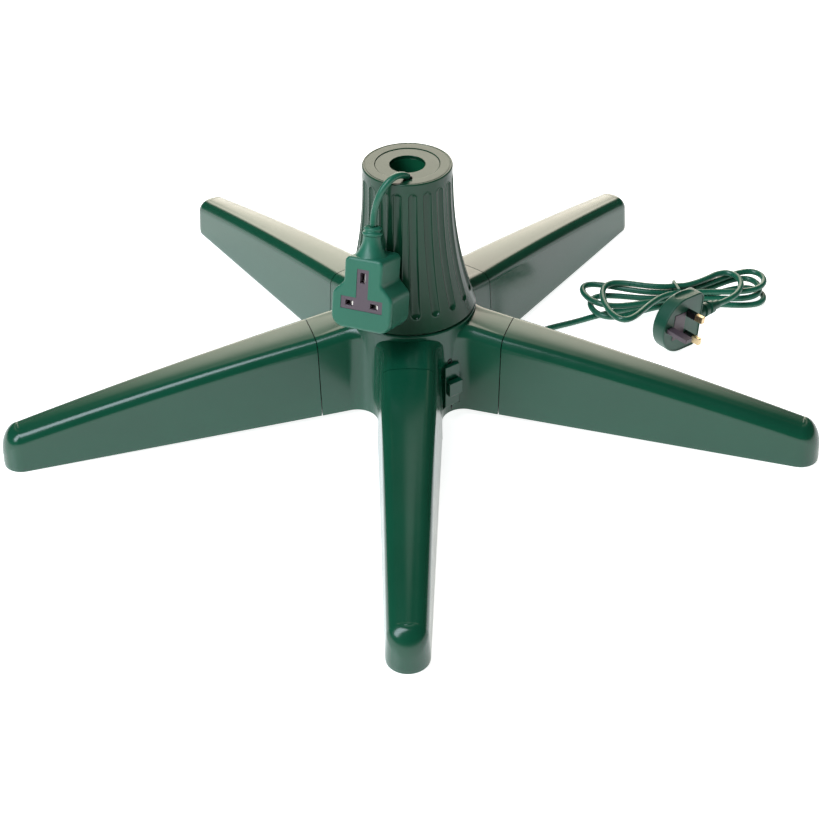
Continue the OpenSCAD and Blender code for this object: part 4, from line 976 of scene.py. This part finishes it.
plug_line = [Vector((PLUG_R - PLUG_CORNER_R + PLUG_CORNER_R * cos(a),
                     PLUG_CORNER_R - PLUG_CORD_SIDE + PLUG_CORNER_R * sin(a)))
             for a in np.linspace(-pi / 2, 0, 10)]
plug_line += [Vector((PLUG_R * cos(a), PLUG_ROUND_Y + PLUG_R * sin(a))) for a in np.linspace(0, pi / 2, 28)]
plug_line += [Vector((-p.x, p.y)) for p in reversed(plug_line[:-1])]
ribs = [(0, 0), (7.4 * MM, 0), (7.2 * MM, 8.6 * MM)]
for rib_at, rib_r in RIBS:
    ribs += [(rib_r - 1.7 * MM, rib_at - 3.2 * MM), (rib_r - 1.7 * MM, rib_at - 0.6 * MM), (rib_r, rib_at),
             (rib_r - 0.3 * MM, rib_at + 4.4 * MM)]
ribs += [(4.4 * MM, 25.6 * MM), (4.2 * MM, PLUG_RELIEF_L), (0, PLUG_RELIEF_L)]
ribs_place = (Matrix.Translation((0, 2 * MM - PLUG_CORD_SIDE, PLUG_RELIEF_Z))
              @ Matrix.Rotation(pi / 2, 4, "X"))


def hollow_ball(centre, radii):
    """A closed ellipsoid, to press a finger hollow with."""
    ball = turned_shape([(sin(b), -cos(b)) for b in np.linspace(0, pi, 25)], 48)
    return moved(ball, Matrix.Translation(centre) @ Matrix.Diagonal((*radii, 1)))


plug = mesh_piece("plug", *cushion(plug_line, -PLUG_D, 0, 3 * MM, 1.2 * MM))
finish_mesh(plug, 0.001 * MM)
carve(plug, moved(turned_shape(ribs, 48), ribs_place), "UNION")
carve(plug, flat_prism([tuple(p) for p in drawn_in(plug_line, FACE_RIM)], -FACE_DIP, 2 * MM))
for s in (-1, 1):
    carve(plug, hollow_ball((s * FINGER_AT[0], FINGER_AT[1], -PLUG_D / 2), FINGER_RADII))
carve(plug, block(*FUSE_RECESS))
finish_mesh(plug, 0.001 * MM)
plug.data.transform(plug_place)
plug.data.materials.append(plug_pvc)
crisp(plug, 34)
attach(plug, "base")
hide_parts("plug_body")

dress(core_plastic, "plug_earth_pin", bevel=0.5 * MM)
dress(brass, "plug_power_pins", bevel=0.4 * MM)
dress(black_nylon, "plug_pin_sleeves", bevel=0.15 * MM)
dress(core_plastic, "plug_fuse_cover", bevel=0.3 * MM)
dress(cord_pvc, "hank_tie", bevel=0.2 * MM)
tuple(lead_line[0])
round(length_of(lead_line), 3)


# ---------------------------------------------------------------- floor and light
# A white acrylic table lit from below, before a warm screen that ends half way up, with a tall
# cool soft box high at the front left and a small one overhead, as a catalogue photo has.

FLOOR_HALF = 40  # metres, so that its edge is never seen
SCREEN_GLOW, ROOM_GLOW = 4, 0.05

floor_mesh = bpy.data.meshes.new("floor")
floor_corners = [(x * FLOOR_HALF, y * FLOOR_HALF, 0) for x, y in [(-1, -1), (1, -1), (1, 1), (-1, 1)]]
floor_mesh.from_pydata(floor_corners, [], [(0, 1, 2, 3)])
floor = bpy.data.objects.new("floor", floor_mesh)
scene.collection.objects.link(floor)
paper = bpy.data.materials.new("white acrylic")
paper.use_nodes = True
paper_shader = paper.node_tree.nodes["Principled BSDF"]
paper_shader.inputs["Base Color"].default_value = (0.85, 0.85, 0.85, 1)
paper_shader.inputs["Roughness"].default_value = 0.25
paper_shader.inputs["Emission Color"].default_value = (1, 1, 1, 1)
paper_shader.inputs["Emission Strength"].default_value = 0.9
floor_mesh.materials.append(paper)


def soft_light(name, place, aim, size, power, tint="#ffffff"):
    """A rectangular soft box that faces aim."""
    data = bpy.data.lights.new(name, "AREA")
    data.shape = "RECTANGLE"
    data.size, data.size_y = size
    data.energy = power
    data.color = colour(tint)[:3]
    lamp = bpy.data.objects.new(name, data)
    scene.collection.objects.link(lamp)
    away = (Vector(place) - Vector(aim)).normalized()
    lamp.matrix_world = Matrix.Translation(place) @ away.to_track_quat("Z", "Y").to_matrix().to_4x4()


soft_light("front box", (-1.2, -1, 2.1), (0, 0, 0.1), (1.1, 3), 80, "#e8f3ff")
soft_light("top box", (0.1, 1.3, 2.25), (0, 0, 0.1), (0.5, 1.1), 1.6, "#f4fff8")

# The screen is where the world's direction is well back, not too high and near the middle.
world = bpy.data.worlds.new("studio")
world.use_nodes = True
sky = world.node_tree
towards = add(sky, "ShaderNodeSeparateXYZ", {0: add(sky, "ShaderNodeTexCoord").outputs["Generated"]})
behind = add(sky, "ShaderNodeMapRange", {"Value": towards.outputs["Y"], "From Min": 0.4, "From Max": 0.62},
             interpolation_type="SMOOTHSTEP")
low = add(sky, "ShaderNodeMapRange", {"Value": towards.outputs["Z"], "From Min": 0.58, "From Max": 0.74,
                                      "To Min": 1, "To Max": 0}, interpolation_type="SMOOTHSTEP")
aside = add(sky, "ShaderNodeMath", {0: towards.outputs["X"]}, operation="ABSOLUTE")
between = add(sky, "ShaderNodeMapRange", {"Value": aside.outputs[0], "From Min": 0.24, "From Max": 0.44,
                                          "To Min": SCREEN_GLOW, "To Max": 0},
              interpolation_type="SMOOTHSTEP")
screen = add(sky, "ShaderNodeMath", {0: behind.outputs["Result"], 1: low.outputs["Result"]},
             operation="MULTIPLY")
glow = add(sky, "ShaderNodeMath", {0: screen.outputs[0], 1: between.outputs["Result"], 2: ROOM_GLOW},
           operation="MULTIPLY_ADD")
background = sky.nodes["Background"]
background.inputs["Color"].default_value = colour("#fff3e2")
sky.links.new(glow.outputs[0], background.inputs["Strength"])
scene.world = world
scene.view_settings.view_transform = "Standard"
